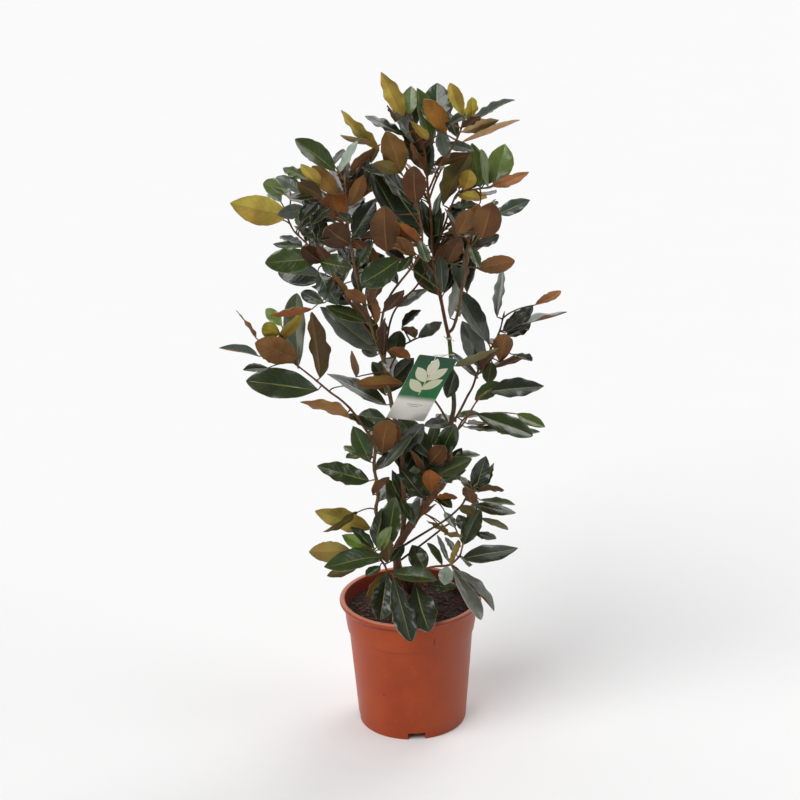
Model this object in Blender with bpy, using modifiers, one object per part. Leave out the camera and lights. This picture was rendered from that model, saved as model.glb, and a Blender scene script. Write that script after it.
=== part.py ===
"""A potted southern magnolia: a branching evergreen shrub with glossy leaves, brown underneath, in a
round plastic pot with a picture label. Metres, +Z up, the pot stands on z = 0 with its axis on x = y = 0,
and the side seen from -Y is the front."""
import math
import random

import bmesh
import bpy
from mathutils import Matrix, Vector
from mathutils.bvhtree import BVHTree

MM = 0.001
CM = 0.01

# The pot: a 28 cm nursery pot
POT_HEIGHT = 262.6 * MM
RIM_RADIUS = 140 * MM
LIP_ROLL = 6 * MM
BASE_RADIUS = 106.6 * MM
WALL = 2.2 * MM
STEP_HEIGHT = 197 * MM
STEP_DEPTH = 3.2 * MM
WALL_TAPER = 0.0745
FOOT_HEIGHT = 14 * MM
FOOT_WIDTH = 10 * MM
BOSS_RADIUS = 30 * MM
NOTCH_WIDTH = 34 * MM
NOTCH_COUNT = 4
NOTCH_DEPTH = 40 * MM
NOTCH_TURN = math.radians(3.5)
DRAIN_COUNT = 6
DRAIN_RADIUS = 5 * MM
DRAIN_CIRCLE = 72 * MM
ROUND_SIDES = 28
COLLAR_OUTLINE = ((130.4 * MM, 243 * MM), (129.0 * MM, 224 * MM), (127.3 * MM, 210 * MM))
COLLAR_INSIDE = ((126.4 * MM, 222 * MM), (128.6 * MM, 252 * MM), (130.2 * MM, 260.2 * MM))
SOIL_BELOW_RIM = 30 * MM
CLEARANCE = 0.35 * MM
CUTTER_LENGTH = 20 * MM
STEM_CLEARANCE = 0.4 * MM
STEM_SPACING = 34 * MM
WELD = 0.001 * MM

# The view that the photograph is taken from, fitted to the pot's rim and base
EYE = Vector((-0.0125, -3.0, 1.679))
PITCH_DOWN = math.radians(18.62)
ROLL = math.radians(-1.2)
FOCAL_PIXELS = 1669.0
PICTURE_MIDDLE = 400.0

# Leaves
BLADE_THICKNESS = 0.8 * MM
STALK_HALF_WIDTH = 1.25 * MM
STALK_THICKNESS = 2.2 * MM
LEAF_ASPECT = 0.42
SHORTEST_LEAF = 62 * MM
LONGEST_LEAF = 175 * MM
TIP_SHIFTS = (8, 16, 24, 32, 42, 54, 68, 84)
ROLL_CHANGES = (0.0, 0.35, -0.35)
BASE_SHIFTS = (0, 12, -12, 24, -24)
ROOT_SHIFTS = (0.0, 0.04, -0.04, 0.08, -0.08)
WIDEST_SHARE = 1.06
BLADE_STATIONS = (0.27, 0.66)
SHORT_BLADE = 112 * MM
SHORT_BLADE_STATIONS = (0.46,)
LEAF_CLEARANCE = 0.7 * MM
LEAF_BOW = 0.03
LEAF_FOLD = 0.1
WIDEST_PLACE = 1.08
BLUNTNESS = 0.85

# How far a leaf leans toward or away from the eye, from how long and wide it looks
SEEN_SPARE = 1.02
SEEN_ASPECT = 0.47
LEAN_SHARE = 0.85
DEEPEST_LEAN = 70 * MM
BASE_LEAN_SHARE = 0.3
BASE_LEAN_LIMIT = 12 * MM
STEEPEST_TURN = math.radians(84)
LEVEL_TIP = 2

# Each stem is a line of points: across and down in the photograph's pixels, and how many centimetres
# behind the pot's axis; then the diameters at its two ends, in millimetres, and the stem that carries it.
STEMS = {
    "trunk_and_right_leader": dict(parent=None, widths=(19, 17, 15, 11, 9, 8, 6, 5, 4, 3.4), sides=8, path=[
        (399, 632, 0), (398, 575, 0), (397, 550, 0), (404, 536, 0), (413, 522, 0.5), (428, 502, 1),
        (437, 491, 1.2), (443, 484, 1.5), (449, 463, 2), (451, 425, 2.6), (454, 405, 3), (452, 380, 3.2),
        (451, 359, 3.2), (449, 338, 3.6), (446, 325, 4), (441, 300, 5), (436, 275, 6), (433, 250, 6.6),
        (431, 215, 7), (428, 190, 7), (426, 162, 6.6), (423, 143, 6), (415, 126, 5), (408, 114, 4.6)]),
    "middle_leader": dict(parent="trunk_and_right_leader", widths=(10, 9, 8, 7, 6, 5, 3.6), sides=6, path=[
        (402, 538, 0), (404, 512, 0.6), (402, 470, 1), (401, 452, 1), (391, 401, 0.8), (388, 385, 0),
        (383, 357, -2), (377, 343, -3.4), (370, 322, -5.4), (360, 290, -8), (354, 262, -9.6),
        (350, 240, -10.6), (347, 219, -11.2), (347, 200, -11.6), (345, 180, -12)]),
    "left_stem": dict(parent="trunk_and_right_leader", widths=(8, 7, 6, 5, 4, 3.2), sides=6, path=[
        (397, 556, 0), (384, 535, -1.2), (376, 512, -1.8), (378, 497, -1.5), (377, 483, -1),
        (374, 467, 0), (375, 450, 1), (371, 438, 2), (353, 412, 4), (341, 400, 5.4), (330, 392, 6.6),
        (312, 377, 8.4), (294, 363, 9.6)]),
    "right_thin_stem": dict(parent="trunk_and_right_leader", widths=(5, 4.4, 4, 3.4), sides=6, path=[
        (400, 548, 0), (411, 541, -1), (434, 527, -4), (448, 518, -6), (461, 506, -8), (466, 498, -9),
        (474, 487, -9.5)]),
    "right_thin_shoot": dict(parent="trunk_and_right_leader", widths=(4.4, 4, 3.2), sides=6, path=[
        (398, 562, 0), (417, 548, 2.4), (434, 535, 4.4), (447, 525, 6), (458, 521, 7.6), (470, 517, 9)]),
    "low_right_shoot": dict(parent=None, widths=(6, 5, 4.4, 3.4), sides=6, path=[
        (412, 640, -4), (417, 600, -4.5), (425, 572, -5), (432, 567, -5), (442, 566, -5),
        (450.6, 564.4, -5), (459.5, 556, -5), (462, 548, -5)]),
    "low_left_shoot": dict(parent=None, widths=(6, 5.4, 4.4, 3.4), sides=6, path=[
        (396, 640, -3), (392, 600, -5), (388, 575, -7), (384, 564, -7), (379, 558, -6.5),
        (371, 548.5, -6)]),
    "top_right_shoot": dict(parent="trunk_and_right_leader", widths=(4, 3.6, 3), sides=6, path=[
        (428, 192, 7), (440, 165, 4.5), (452, 148, 2), (460, 132, 0), (463, 121, -1)]),
    "right_side_shoot": dict(parent="trunk_and_right_leader", widths=(4.2, 3.6, 3), sides=6, path=[
        (434, 256, 6.5), (450, 210, 9), (458, 193, 10), (470, 190, 11), (485, 188, 12)]),
    "right_branch": dict(parent="trunk_and_right_leader", widths=(6, 5, 4, 3), sides=6, path=[
        (448, 333, 3.7), (453, 328, 3), (458, 312, 1), (462, 290, -2), (466, 270, -4), (469, 240, -6.4),
        (477, 228, -8), (488, 221, -9)]),
    "right_spray": dict(parent="trunk_and_right_leader", widths=(5, 4.4, 3.6, 3), sides=6, path=[
        (454, 421, 2.6), (461, 409, 4), (467, 397, 5.6), (473, 386, 7), (478, 371, 8.2), (486, 358, 9),
        (495, 341, 10), (500, 330, 10.4), (503, 318, 10.6)]),
    "right_mid_shoot": dict(parent="trunk_and_right_leader", widths=(4, 3.4, 3), sides=6, path=[
        (451, 437, 2.4), (463, 424, -0.6), (470, 412, -2.6), (477, 401, -4.4), (485, 393, -6)]),
    "right_low_spray": dict(parent="trunk_and_right_leader", widths=(4, 3.4, 3), sides=6, path=[
        (450, 452, 2.2), (457, 431, 4), (464, 419, 5.4), (474, 414, 6.6), (484, 414, 8)]),
    "centre_right_branch": dict(parent="middle_leader", widths=(5, 4, 3.2), sides=6, path=[
        (378, 346, -3.2), (381, 325, -5), (385, 307, -6.4), (393, 291, -7.6), (412, 267, -9.4),
        (421, 252, -10.4), (422, 232, -11), (419, 214, -11)]),
    "centre_branch": dict(parent="middle_leader", widths=(4.4, 3.6, 3), sides=6, path=[
        (384, 362, -1.6), (393, 314, 3), (418, 284, 9), (437, 250, 12.6), (446, 240, 13.6)]),
    "centre_twig": dict(parent="middle_leader", widths=(3.8, 3.2, 3), sides=6, path=[
        (387, 378, -0.4), (393, 362, 1.6), (402, 347, 3.4), (413, 340, 4.4)]),
    "upper_left_branch": dict(parent="middle_leader", widths=(5, 4.4, 3.8, 3), sides=6, path=[
        (376, 341, -3.6), (362, 322, -3.4), (349, 300, -2.4), (340, 285, -1.6), (335, 275, -1.2),
        (321, 262, -0.4), (307, 244, 0.6), (294, 231, 1.2), (288, 219, 1.4)]),
    "upper_left_twig": dict(parent="middle_leader", widths=(3.8, 3.4, 3), sides=6, path=[
        (350, 238, -10.6), (338, 215, -12.4), (323, 203, -14), (308, 192, -15)]),
    "upper_twig": dict(parent="middle_leader", widths=(3.4, 3.2, 3), sides=6, path=[
        (347, 205, -11.5), (356, 175, -9), (368, 155, -7), (377, 147, -6)]),
    "back_low_shoot": dict(parent="trunk_and_right_leader", widths=(5, 4, 3), sides=6, path=[
        (412, 523, 0.5), (406, 505, 6), (400, 490, 11), (396, 478, 15)]),
    "back_middle_shoot": dict(parent="trunk_and_right_leader", widths=(5, 4, 3), sides=6, path=[
        (451, 428, 2.6), (440, 408, 8), (428, 392, 13), (418, 380, 17)]),
    "back_left_shoot": dict(parent="middle_leader", widths=(4.6, 4, 3), sides=6, path=[
        (361, 293, -7.8), (352, 262, -1), (346, 238, 6), (340, 216, 12), (336, 202, 15)]),
    "back_high_shoot": dict(parent="trunk_and_right_leader", widths=(4.6, 4, 3), sides=6, path=[
        (437, 278, 5.8), (426, 262, 11), (414, 240, 16), (406, 222, 19)]),
    "back_top_shoot": dict(parent="trunk_and_right_leader", widths=(4, 3.6, 3), sides=6, path=[
        (429, 200, 7), (436, 180, 11.5), (446, 160, 15), (452, 146, 17)]),
}

# Each leaf as the photograph shows it: where the blade starts and its tip, across and down in pixels, the
# width seen, and the face seen: U upper, G upper of a young leaf, B brown underside, Y yellow underside.
# A last number, where there is one, is how far the tip lies behind the blade's start, in centimetres.
LEAVES = {
    "trunk_and_right_leader": [
        (404, 116, 381, 72, 17, "Y"), (410, 114, 411, 86, 16, "G"), (430, 140, 417, 88, 17, "G"),
        (446, 132, 424, 99, 18, "B", -6), (427, 140, 411, 121, 9, "Y"), (417, 153, 391, 98, 11, "U"),
        (405, 136, 365, 116, 9, "U"), (434, 165, 471, 153, 10, "B"), (425, 470, 417, 430, 22, "U"),
        (430, 464, 445, 446, 18, "B"), (432, 493, 430, 470, 17, "B"), (422, 496, 397, 474, 15, "U"),
        (430, 497, 414, 474, 12, "U"), (421, 514, 395, 502, 8, "U"), (438, 459, 455, 424, 20, "U", -4),
        (430, 445, 441, 414, 11, "U"), (455, 372, 447, 398, 15, "U"), (424, 170, 406, 132, 17, "U"),
        (427, 178, 432, 140, 12, "U"), (454, 457, 480, 455, 8, "U"), (439, 474, 472, 459, 15, "U", -4.5),
        (437, 497, 452, 508, 9, "U"), (414, 143, 394, 106, 9, "U"), (424, 152, 409, 122, 12, "B"),
        (437, 246, 441, 208, 10, "U"), (441, 482, 466, 470, 10, "U", -4), (434, 460, 398, 418, 20, "U"),
        (455, 366, 499, 348, 8, "Y"), (445, 512, 455, 528, 8, "U")],
    "top_right_shoot": [
        (437, 129, 437, 83, 33, "U", 11), (463, 116, 450, 83, 13, "Y"), (471, 120, 472, 97, 11, "Y"),
        (450, 124, 475, 111, 9, "U"), (471, 121, 515, 100, 7, "U"), (462, 132, 499, 120, 11, "B"),
        (462, 142, 520, 120, 6, "B"), (448, 160, 440, 128, 14, "U")],
    "right_side_shoot": [
        (443, 205, 470, 153, 20, "B"), (480, 187, 472, 143, 22, "G"), (494, 185, 505, 144, 25, "G"),
        (491, 186, 529, 172, 11, "B"), (463, 190, 470, 170, 17, "Y"), (458, 195, 487, 198, 11, "Y"),
        (447, 216, 466, 204, 12, "U"), (479, 205, 453, 207, 8, "U"), (471, 231, 478, 204, 13, "B")],
    "right_branch": [
        (498, 214, 530, 200, 14, "U"), (482, 238, 492, 202, 27, "B"), (458, 234, 470, 209, 17, "B"),
        (461, 290, 467, 245, 8, "U"), (450, 318, 457, 268, 10, "U"), (467, 293, 475, 250, 11, "U"),
        (476, 268, 515, 261, 17, "B"), (447, 263, 461, 238, 16, "B"), (473, 248, 499, 235, 10, "U"),
        (487, 211, 496, 201, 8, "U")],
    "right_spray": [
        (497, 317, 503, 268, 10, "U"), (535, 305, 561, 291, 8, "B"), (505, 333, 567, 312, 6, "U"),
        (503, 331, 533, 306, 15, "U"), (506, 337, 531, 322, 12, "U"), (500, 362, 505, 334, 19, "B"),
        (489, 343, 456, 290, 18, "U"), (482, 368, 462, 321, 21, "U"), (494, 368, 530, 356, 6, "B"),
        (492, 362, 488, 383, 14, "U")],
    "right_mid_shoot": [
        (490, 391, 544, 386, 19, "U"), (475, 399, 501, 383, 15, "U")],
    "right_low_spray": [
        (477, 414, 533, 436, 19, "U"), (517, 414, 545, 427, 11, "G"), (502, 434, 540, 432, 8, "G"),
        (465, 427, 497, 431, 5, "U")],
    "middle_leader": [
        (335, 171, 295, 139, 19, "G"), (337, 175, 358, 141, 7, "U"), (346, 178, 346, 157, 8, "U"),
        (350, 171, 375, 147, 9, "B"), (338, 195, 312, 166, 17, "B"), (342, 186, 369, 193, 16, "B"),
        (342, 221, 330, 190, 27, "B"), (350, 244, 326, 227, 27, "B"), (347, 238, 365, 252, 12, "B"),
        (376, 350, 320, 307, 26, "U"), (367, 323, 326, 306, 13, "U"), (353, 238, 375, 200, 22, "U"),
        (354, 240, 378, 262, 13, "B"), (366, 304, 345, 290, 12, "B"), (386, 311, 404, 290, 12, "B"),
        (392, 358, 400, 331, 18, "U"), (365, 272, 384, 255, 12, "U"), (403, 384, 355, 383, 13, "B"),
        (356, 377, 352, 351, 8, "B"), (377, 355, 362, 348, 12, "U"), (386, 405, 327, 374, 15, "U"),
        (385, 395, 380, 361, 18, "U"), (371, 304, 381, 281, 12, "B"), (376, 324, 371, 293, 11, "B"),
        (405, 520, 386, 478, 18, "U")],
    "left_stem": [
        (320, 378, 312, 312, 19, "B"), (298, 368, 297, 293, 19, "U"), (256, 338, 236, 310, 4, "B"),
        (282, 326, 266, 309, 12, "G"), (280, 334, 262, 328, 15, "Y"), (278, 341, 301, 313, 11, "Y"),
        (297, 359, 255, 343, 26, "B"), (258, 356, 219, 348, 7, "U"), (268, 368, 243, 370, 8, "U"),
        (318, 390, 246, 381, 29, "U"), (350, 418, 300, 402, 12, "B"), (376, 432, 340, 415, 9, "U"),
        (370, 462, 353, 426, 19, "U"), (382, 454, 388, 420, 23, "B"), (386, 419, 358, 416, 17, "U"),
        (362, 457, 344, 446, 9, "G"), (369, 481, 317, 466, 20, "U"), (382, 468, 412, 436, 11, "U"),
        (373, 495, 388, 477, 9, "B"), (371, 529, 315, 511, 20, "Y"), (358, 512, 323, 532, 8, "B", -5)],
    "right_thin_stem": [
        (475, 492, 486, 456, 18, "U"), (484, 488, 494, 463, 8, "U"), (472, 503, 466, 487, 12, "B"),
        (480, 500, 515, 505, 6, "U"), (475, 505, 516, 513, 12, "U")],
    "right_thin_shoot": [
        (463, 545, 481, 508, 18, "U"), (474, 516, 463, 505, 12, "B"), (467, 532, 458, 515, 12, "U"),
        (476, 533, 496, 539, 8, "U")],
    "low_right_shoot": [
        (462, 559, 518, 548, 18, "U"), (415, 583, 429, 632, 28, "U", -11), (425, 569, 412, 545, 20, "U"),
        (447, 566, 444, 585, 15, "G"), (452, 567, 481, 620, 12, "G", -6),
        (455, 570, 494, 611, 9, "U", -4), (458, 587, 430, 585, 12, "U")],
    "low_left_shoot": [
        (350, 550, 309, 552, 20, "Y"), (371, 549, 342, 535, 14, "G"), (374, 548, 350, 527, 10, "U"),
        (377, 547, 382, 508, 10, "U"), (386, 548, 395, 497, 21, "U"), (378, 550, 392, 527, 12, "G", -4.5),
        (388, 563, 388, 539, 12, "B"), (384, 557, 324, 567, 19, "U"), (380, 561, 346, 560, 10, "U"),
        (357, 568, 327, 576, 8, "Y"), (380, 566, 366, 576, 9, "U"), (387, 572, 380, 620, 21, "U", -3.5),
        (393, 575, 411, 642, 26, "U", -8), (391, 573, 437, 580, 15, "U"), (401, 578, 409, 595, 9, "B"),
        (388, 572, 368, 600, 7, "Y")],
    "centre_right_branch": [
        (416, 203, 414, 166, 23, "B"), (422, 228, 385, 175, 30, "U"), (421, 245, 397, 222, 12, "B"),
        (387, 252, 384, 206, 28, "B"), (400, 259, 361, 284, 26, "G"), (401, 172, 386, 131, 24, "Y"),
        (400, 173, 375, 163, 13, "B"), (397, 174, 384, 159, 8, "G"), (443, 292, 440, 256, 12, "U"),
        (414, 205, 380, 168, 14, "U"), (396, 215, 371, 172, 18, "U"), (412, 256, 398, 272, 9, "U"),
        (418, 235, 405, 205, 16, "U")],
    "centre_branch": [
        (428, 290, 397, 307, 9, "U"), (438, 295, 418, 255, 24, "U"), (441, 262, 430, 236, 12, "U")],
    "centre_twig": [
        (402, 327, 421, 310, 8, "U"), (415, 338, 403, 327, 10, "B"), (418, 338, 442, 322, 12, "U"),
        (409, 359, 390, 349, 10, "B"), (394, 378, 414, 358, 16, "U")],
    "upper_left_branch": [
        (288, 216, 230, 203, 28, "Y"), (290, 190, 263, 184, 17, "U"), (308, 206, 271, 187, 7, "U"),
        (281, 202, 268, 194, 9, "G"), (306, 208, 277, 215, 14, "U"), (303, 211, 299, 227, 9, "U"),
        (315, 240, 294, 226, 8, "U"), (304, 247, 273, 244, 7, "U"), (322, 262, 302, 247, 16, "B"),
        (318, 259, 265, 263, 24, "G"), (320, 262, 352, 268, 22, "G"), (322, 277, 278, 273, 23, "U"),
        (318, 272, 338, 305, 20, "U"), (324, 303, 301, 293, 13, "U"), (312, 309, 268, 315, 8, "B")],
    "upper_left_twig": [
        (308, 180, 283, 168, 10, "G"), (305, 192, 276, 177, 13, "U"), (320, 184, 301, 164, 12, "Y"),
        (322, 197, 297, 183, 16, "B"), (325, 245, 312, 206, 16, "U"), (322, 216, 303, 193, 15, "U"),
        (332, 228, 318, 240, 12, "U")],
    "upper_twig": [
        (378, 150, 341, 110, 12, "Y"), (378, 146, 340, 135, 6, "B"), (377, 147, 371, 163, 9, "Y"),
        (366, 190, 380, 168, 12, "U"), (366, 171, 350, 182, 9, "B")],
}

# Leaves on the side that the photograph doesn't show, how many on each stem
HIDDEN_LEAVES = {
    "back_low_shoot": 7, "back_middle_shoot": 7, "back_left_shoot": 8, "back_high_shoot": 8,
    "back_top_shoot": 7, "trunk_and_right_leader": 4, "middle_leader": 4, "left_stem": 3,
    "right_branch": 2, "right_side_shoot": 2, "top_right_shoot": 1, "right_spray": 2,
    "centre_right_branch": 2, "upper_left_branch": 3, "upper_left_twig": 1, "low_left_shoot": 1,
}
HIDDEN_SEED = 28
HIDDEN_TRIES = 120
MOST_SEEN = 0.06
HIDDEN_LENGTH = (85 * MM, 112 * MM)
HIDDEN_STALK = 20 * MM
HIDDEN_LOWEST = POT_HEIGHT + 40 * MM
HIDDEN_STEM_SHARE = (0.3, 1.0)
HIDDEN_TURN = (-110, 110)
HIDDEN_RISE = (5, 60)
HIDDEN_TILT = (-0.5, 0.5)

# The label: its corners in the photograph and how far behind the top left corner the others lie
LABEL_CORNER = (419.3, 354.4)
LABEL_RIGHT = (457.6, 359.1)
LABEL_FOOT = (386.8, 417.6)
LABEL_BEHIND = -6.2
LABEL_RIGHT_BACK = 3.3
LABEL_FOOT_BACK = 5.1
LABEL_THICKNESS = 0.8 * MM
LABEL_HOLE = (0.42, 0.085)
LABEL_HOLE_RADIUS = 3 * MM
LOOP_RADIUS = 0.7 * MM
LOOP_PLACE = (451, 352)
TIE_DOWN = 335.5


def clear_scene():
    """Start from an empty scene."""
    for thing in list(bpy.data.objects):
        bpy.data.objects.remove(thing, do_unlink=True)


def new_collection(name):
    """A collection linked to the scene."""
    collection = bpy.data.collections.new(name)
    bpy.context.scene.collection.children.link(collection)
    return collection


def plain_material(name, colour, roughness):
    """A Principled material of one colour."""
    material = bpy.data.materials.new(name)
    material.use_nodes = True
    shader = material.node_tree.nodes["Principled BSDF"]
    shader.inputs["Base Color"].default_value = (*colour, 1)
    shader.inputs["Roughness"].default_value = roughness
    shader.inputs["Metallic"].default_value = 0
    material.diffuse_color = (*colour, 1)
    return material


def sight(across, down, behind):
    """The point seen at a pixel of the photograph, so many metres behind the pot's axis."""
    right = across - PICTURE_MIDDLE
    up = PICTURE_MIDDLE - down
    level_right = (right * math.cos(ROLL) - up * math.sin(ROLL)) / FOCAL_PIXELS
    level_up = (right * math.sin(ROLL) + up * math.cos(ROLL)) / FOCAL_PIXELS
    direction = Vector((level_right,
                        math.cos(PITCH_DOWN) + level_up * math.sin(PITCH_DOWN),
                        -math.sin(PITCH_DOWN) + level_up * math.cos(PITCH_DOWN)))
    return EYE + direction * ((behind - EYE.y) / direction.y)


def smooth_line(points, spacing):
    """Points along a smooth curve through the given ones, about one spacing apart."""
    ends = [points[0] * 2 - points[1]] + list(points) + [points[-1] * 2 - points[-2]]
    line = []
    for before, start, stop, after in zip(ends, ends[1:], ends[2:], ends[3:]):
        count = max(1, round((stop - start).length / spacing))
        for step in range(count):
            t = step / count
            line.append(0.5 * (2 * start + (stop - before) * t
                               + (2 * before - 5 * start + 4 * stop - after) * t * t
                               + (3 * start - before - 3 * stop + after) * t ** 3))
    return line + [points[-1].copy()]


def spread(values, share):
    """The value so far along a list that is read as evenly spaced."""
    place = share * (len(values) - 1)
    low = min(int(place), len(values) - 2)
    return values[low] + (values[low + 1] - values[low]) * (place - low)


class Stem:
    """A stem's centre line and its radius along it."""

    def __init__(self, name):
        plan = STEMS[name]
        self.name = name
        self.parent = plan["parent"]
        self.sides = plan["sides"]
        corners = [sight(across, down, behind * CM) for across, down, behind in plan["path"]]
        self.points = smooth_line(corners, STEM_SPACING)
        lengths = [0.0]
        for start, stop in zip(self.points, self.points[1:]):
            lengths.append(lengths[-1] + (stop - start).length)
        self.length = lengths[-1]
        self.shares = [length / self.length for length in lengths]
        self.radii = [spread(plan["widths"], share) / 2 * MM for share in self.shares]

    def at(self, share):
        """The point, direction and radius so far along the stem."""
        share = min(max(share, 0.0), 1.0)
        for index in range(len(self.shares) - 1):
            if share <= self.shares[index + 1] or index == len(self.shares) - 2:
                break
        start, stop = self.points[index], self.points[index + 1]
        t = (share - self.shares[index]) / (self.shares[index + 1] - self.shares[index])
        radius = self.radii[index] + (self.radii[index + 1] - self.radii[index]) * t
        return start.lerp(stop, t), (stop - start).normalized(), radius

    def nearest(self, point, eye):
        """The share along the stem that is seen nearest to a point from the eye."""
        line = (point - eye).normalized()
        best, best_gap = 1.0, 1e9
        for step in range(101):
            place, _, _ = self.at(step / 100)
            toward = place - eye
            gap = (toward - line * toward.dot(line)).length
            if gap < best_gap - 0.2 * MM:
                best, best_gap = step / 100, gap
        return best


class Leaf:
    """A leaf's shape: its stalk from the stem, its midrib and the way its upper face looks."""

    def __init__(self, root, base, tip, up, width, stalk_way):
        self.root, self.base, self.tip = root, base, tip
        rib = tip - base
        self.length = rib.length
        self.way = rib.normalized()
        self.up = (up - self.way * up.dot(self.way)).normalized()
        self.side = self.way.cross(self.up)
        self.width = width
        self.stalk_way = stalk_way
        self.stations = BLADE_STATIONS if self.length > SHORT_BLADE else SHORT_BLADE_STATIONS

    def rib(self, t):
        """A point on the midrib, 0 at the blade's start and 1 at the tip."""
        return self.base.lerp(self.tip, t) + self.up * (LEAF_BOW * self.length * 4 * t * (1 - t))

    def rib_way(self, t):
        """The midrib's direction there."""
        return (self.way + self.up * (LEAF_BOW * 4 * (1 - 2 * t))).normalized()

    def stalk(self, t):
        """A point on the stalk, 0 in the stem and 1 at the blade's start."""
        reach = (self.base - self.root).length
        bend = self.base - self.rib_way(0) * (reach * 0.5)
        knee = (bend + self.root + self.stalk_way * (reach * 0.5)) / 2
        return self.root * (1 - t) ** 2 + knee * (2 * t * (1 - t)) + self.base * t ** 2

    def half_width(self, t):
        """Half the blade's width there."""
        shape = math.sin(math.pi * t ** WIDEST_PLACE) ** BLUNTNESS
        return max(self.width / 2 * shape, STALK_HALF_WIDTH * (1 - t))

    def section(self, middle, way, half, thickness):
        """Six corners of a cut across the blade: left, middle and right above, then right to left below."""
        up = (self.up - way * self.up.dot(way)).normalized()
        side = way.cross(up)
        lift = up * (half * LEAF_FOLD)
        half_up = up * (thickness / 2)
        left, right = middle - side * half + lift, middle + side * half + lift
        return [left + half_up, middle + half_up, right + half_up,
                right - half_up, middle - half_up, left - half_up]

    def stalk_section(self, middle, way, grow):
        """Three corners of a cut across the stalk: left, right and below."""
        up = (self.up - way * self.up.dot(way)).normalized()
        side = way.cross(up)
        half, deep = STALK_HALF_WIDTH + grow, STALK_THICKNESS / 2 + grow
        return [middle - side * half + up * deep, middle + side * half + up * deep, middle - up * deep]

    def mesh(self, grow=0.0, stalk=True):
        """Corners and triangles of the closed leaf, grown all over where asked, or of its blade alone."""
        thick = BLADE_THICKNESS + 2 * grow
        cuts = [self.section(self.rib(t), self.rib_way(t), self.half_width(t) * WIDEST_SHARE + grow, thick)
                for t in self.stations]
        corners, triangles = [], []
        if stalk:
            root_way = (self.stalk(0.1) - self.root).normalized()
            corners += self.stalk_section(self.root, root_way, grow)
            corners += self.stalk_section(self.base, self.rib_way(0), grow)
            triangles += [(0, 2, 1)]
            for a, b in ((0, 1), (1, 2), (2, 0)):
                triangles += [(a, b, b + 3), (a, b + 3, a + 3)]
            triangles += [(3, 4, 7), (3, 7, 6), (4, 8, 7), (4, 9, 8), (4, 5, 10), (4, 10, 9),
                          (5, 3, 11), (5, 11, 10), (3, 6, 11)]
        first = len(corners)
        if not stalk:
            triangles += [(5, 4, 1), (5, 1, 0), (4, 3, 2), (4, 2, 1)]
        corners += [corner for ring in cuts for corner in ring]
        for index in range(len(cuts) - 1):
            low, high = first + index * 6, first + index * 6 + 6
            for a, b in ((0, 1), (1, 2), (2, 3), (5, 0)):
                triangles += [(low + a, low + b, high + b), (low + a, high + b, high + a)]
            for a, b in ((3, 4), (4, 5)):
                triangles += [(low + a, low + b, high + a), (low + b, high + b, high + a)]
        end = len(corners)
        last = end - 6
        point_up = self.up * (thick / 2)
        corners += [self.tip + point_up, self.tip - point_up]
        triangles += [(last, last + 1, end), (last + 1, last + 2, end), (last + 2, last + 3, end + 1),
                      (last + 2, end + 1, end), (last + 3, last + 4, end + 1), (last + 4, last + 5, end + 1),
                      (last + 5, last, end), (last + 5, end, end + 1)]
        return corners, triangles


class Obstacle:
    """A closed mesh that other pieces stay clear of."""

    def __init__(self, node, corners, triangles):
        self.node = node
        self.tree = BVHTree.FromPolygons(corners, triangles)
        self.low = Vector([min(corner[axis] for corner in corners) for axis in range(3)])
        self.high = Vector([max(corner[axis] for corner in corners) for axis in range(3)])

    def near(self, other):
        """Whether the two boxes touch."""
        return all(self.low[axis] <= other.high[axis] and other.low[axis] <= self.high[axis]
                   for axis in range(3))


def mesh_of(thing):
    """The corners and triangles of an evaluated object, in world places."""
    graph = bpy.context.evaluated_depsgraph_get()
    evaluated = thing.evaluated_get(graph)
    mesh = evaluated.to_mesh()
    mesh.calc_loop_triangles()
    corners = [thing.matrix_world @ vertex.co for vertex in mesh.vertices]
    triangles = [tuple(triangle.vertices) for triangle in mesh.loop_triangles]
    evaluated.to_mesh_clear()
    return corners, triangles


def leaf_from_picture(stem, row, shift, roll_change, base_shift, root_shift):
    """A leaf from its row in the table, with its tip moved along the line of sight."""
    base_across, base_down, tip_across, tip_down, seen_width, face = row[:6]
    under = face in "BY"
    flat_base = sight(base_across, base_down, 0)
    share = stem.nearest(flat_base, EYE) + root_shift
    root, stem_way, _ = stem.at(share)
    scale = (root - EYE).length / FOCAL_PIXELS
    seen_length = math.hypot(tip_across - base_across, tip_down - base_down) * scale
    length = max(seen_length * SEEN_SPARE, seen_width * scale / SEEN_ASPECT, SHORTEST_LEAF)
    depth = min(math.sqrt(max(length ** 2 - seen_length ** 2, 0)) * LEAN_SHARE, DEEPEST_LEAN)
    rises = tip_down < base_down + LEVEL_TIP
    away = 1 if rises != under else -1
    lean = row[6] * CM if len(row) > 6 else depth * away
    lean += shift
    base_lean = max(-BASE_LEAN_LIMIT, min(BASE_LEAN_LIMIT, lean * BASE_LEAN_SHARE)) + base_shift
    base = sight(base_across, base_down, root.y + base_lean)
    tip = sight(tip_across, tip_down, base.y + lean)
    way = (tip - base).normalized()
    width = max(LEAF_ASPECT * min((tip - base).length, length * 1.1), seen_width * scale)
    toward = (EYE - base).normalized()
    facing = (toward - way * toward.dot(way)).normalized()
    edge = way.cross(facing)
    turn = math.acos(min(1.0, seen_width * scale / width)) + roll_change
    turn = min(max(turn, 0.0), STEEPEST_TURN)
    options = [facing * ((-1 if under else 1) * math.cos(turn)) + edge * (sign * math.sin(turn))
               for sign in (1, -1)]
    up = max(options, key=lambda option: option.z)
    return Leaf(root, base, tip, up, width, stem_way)


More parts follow.
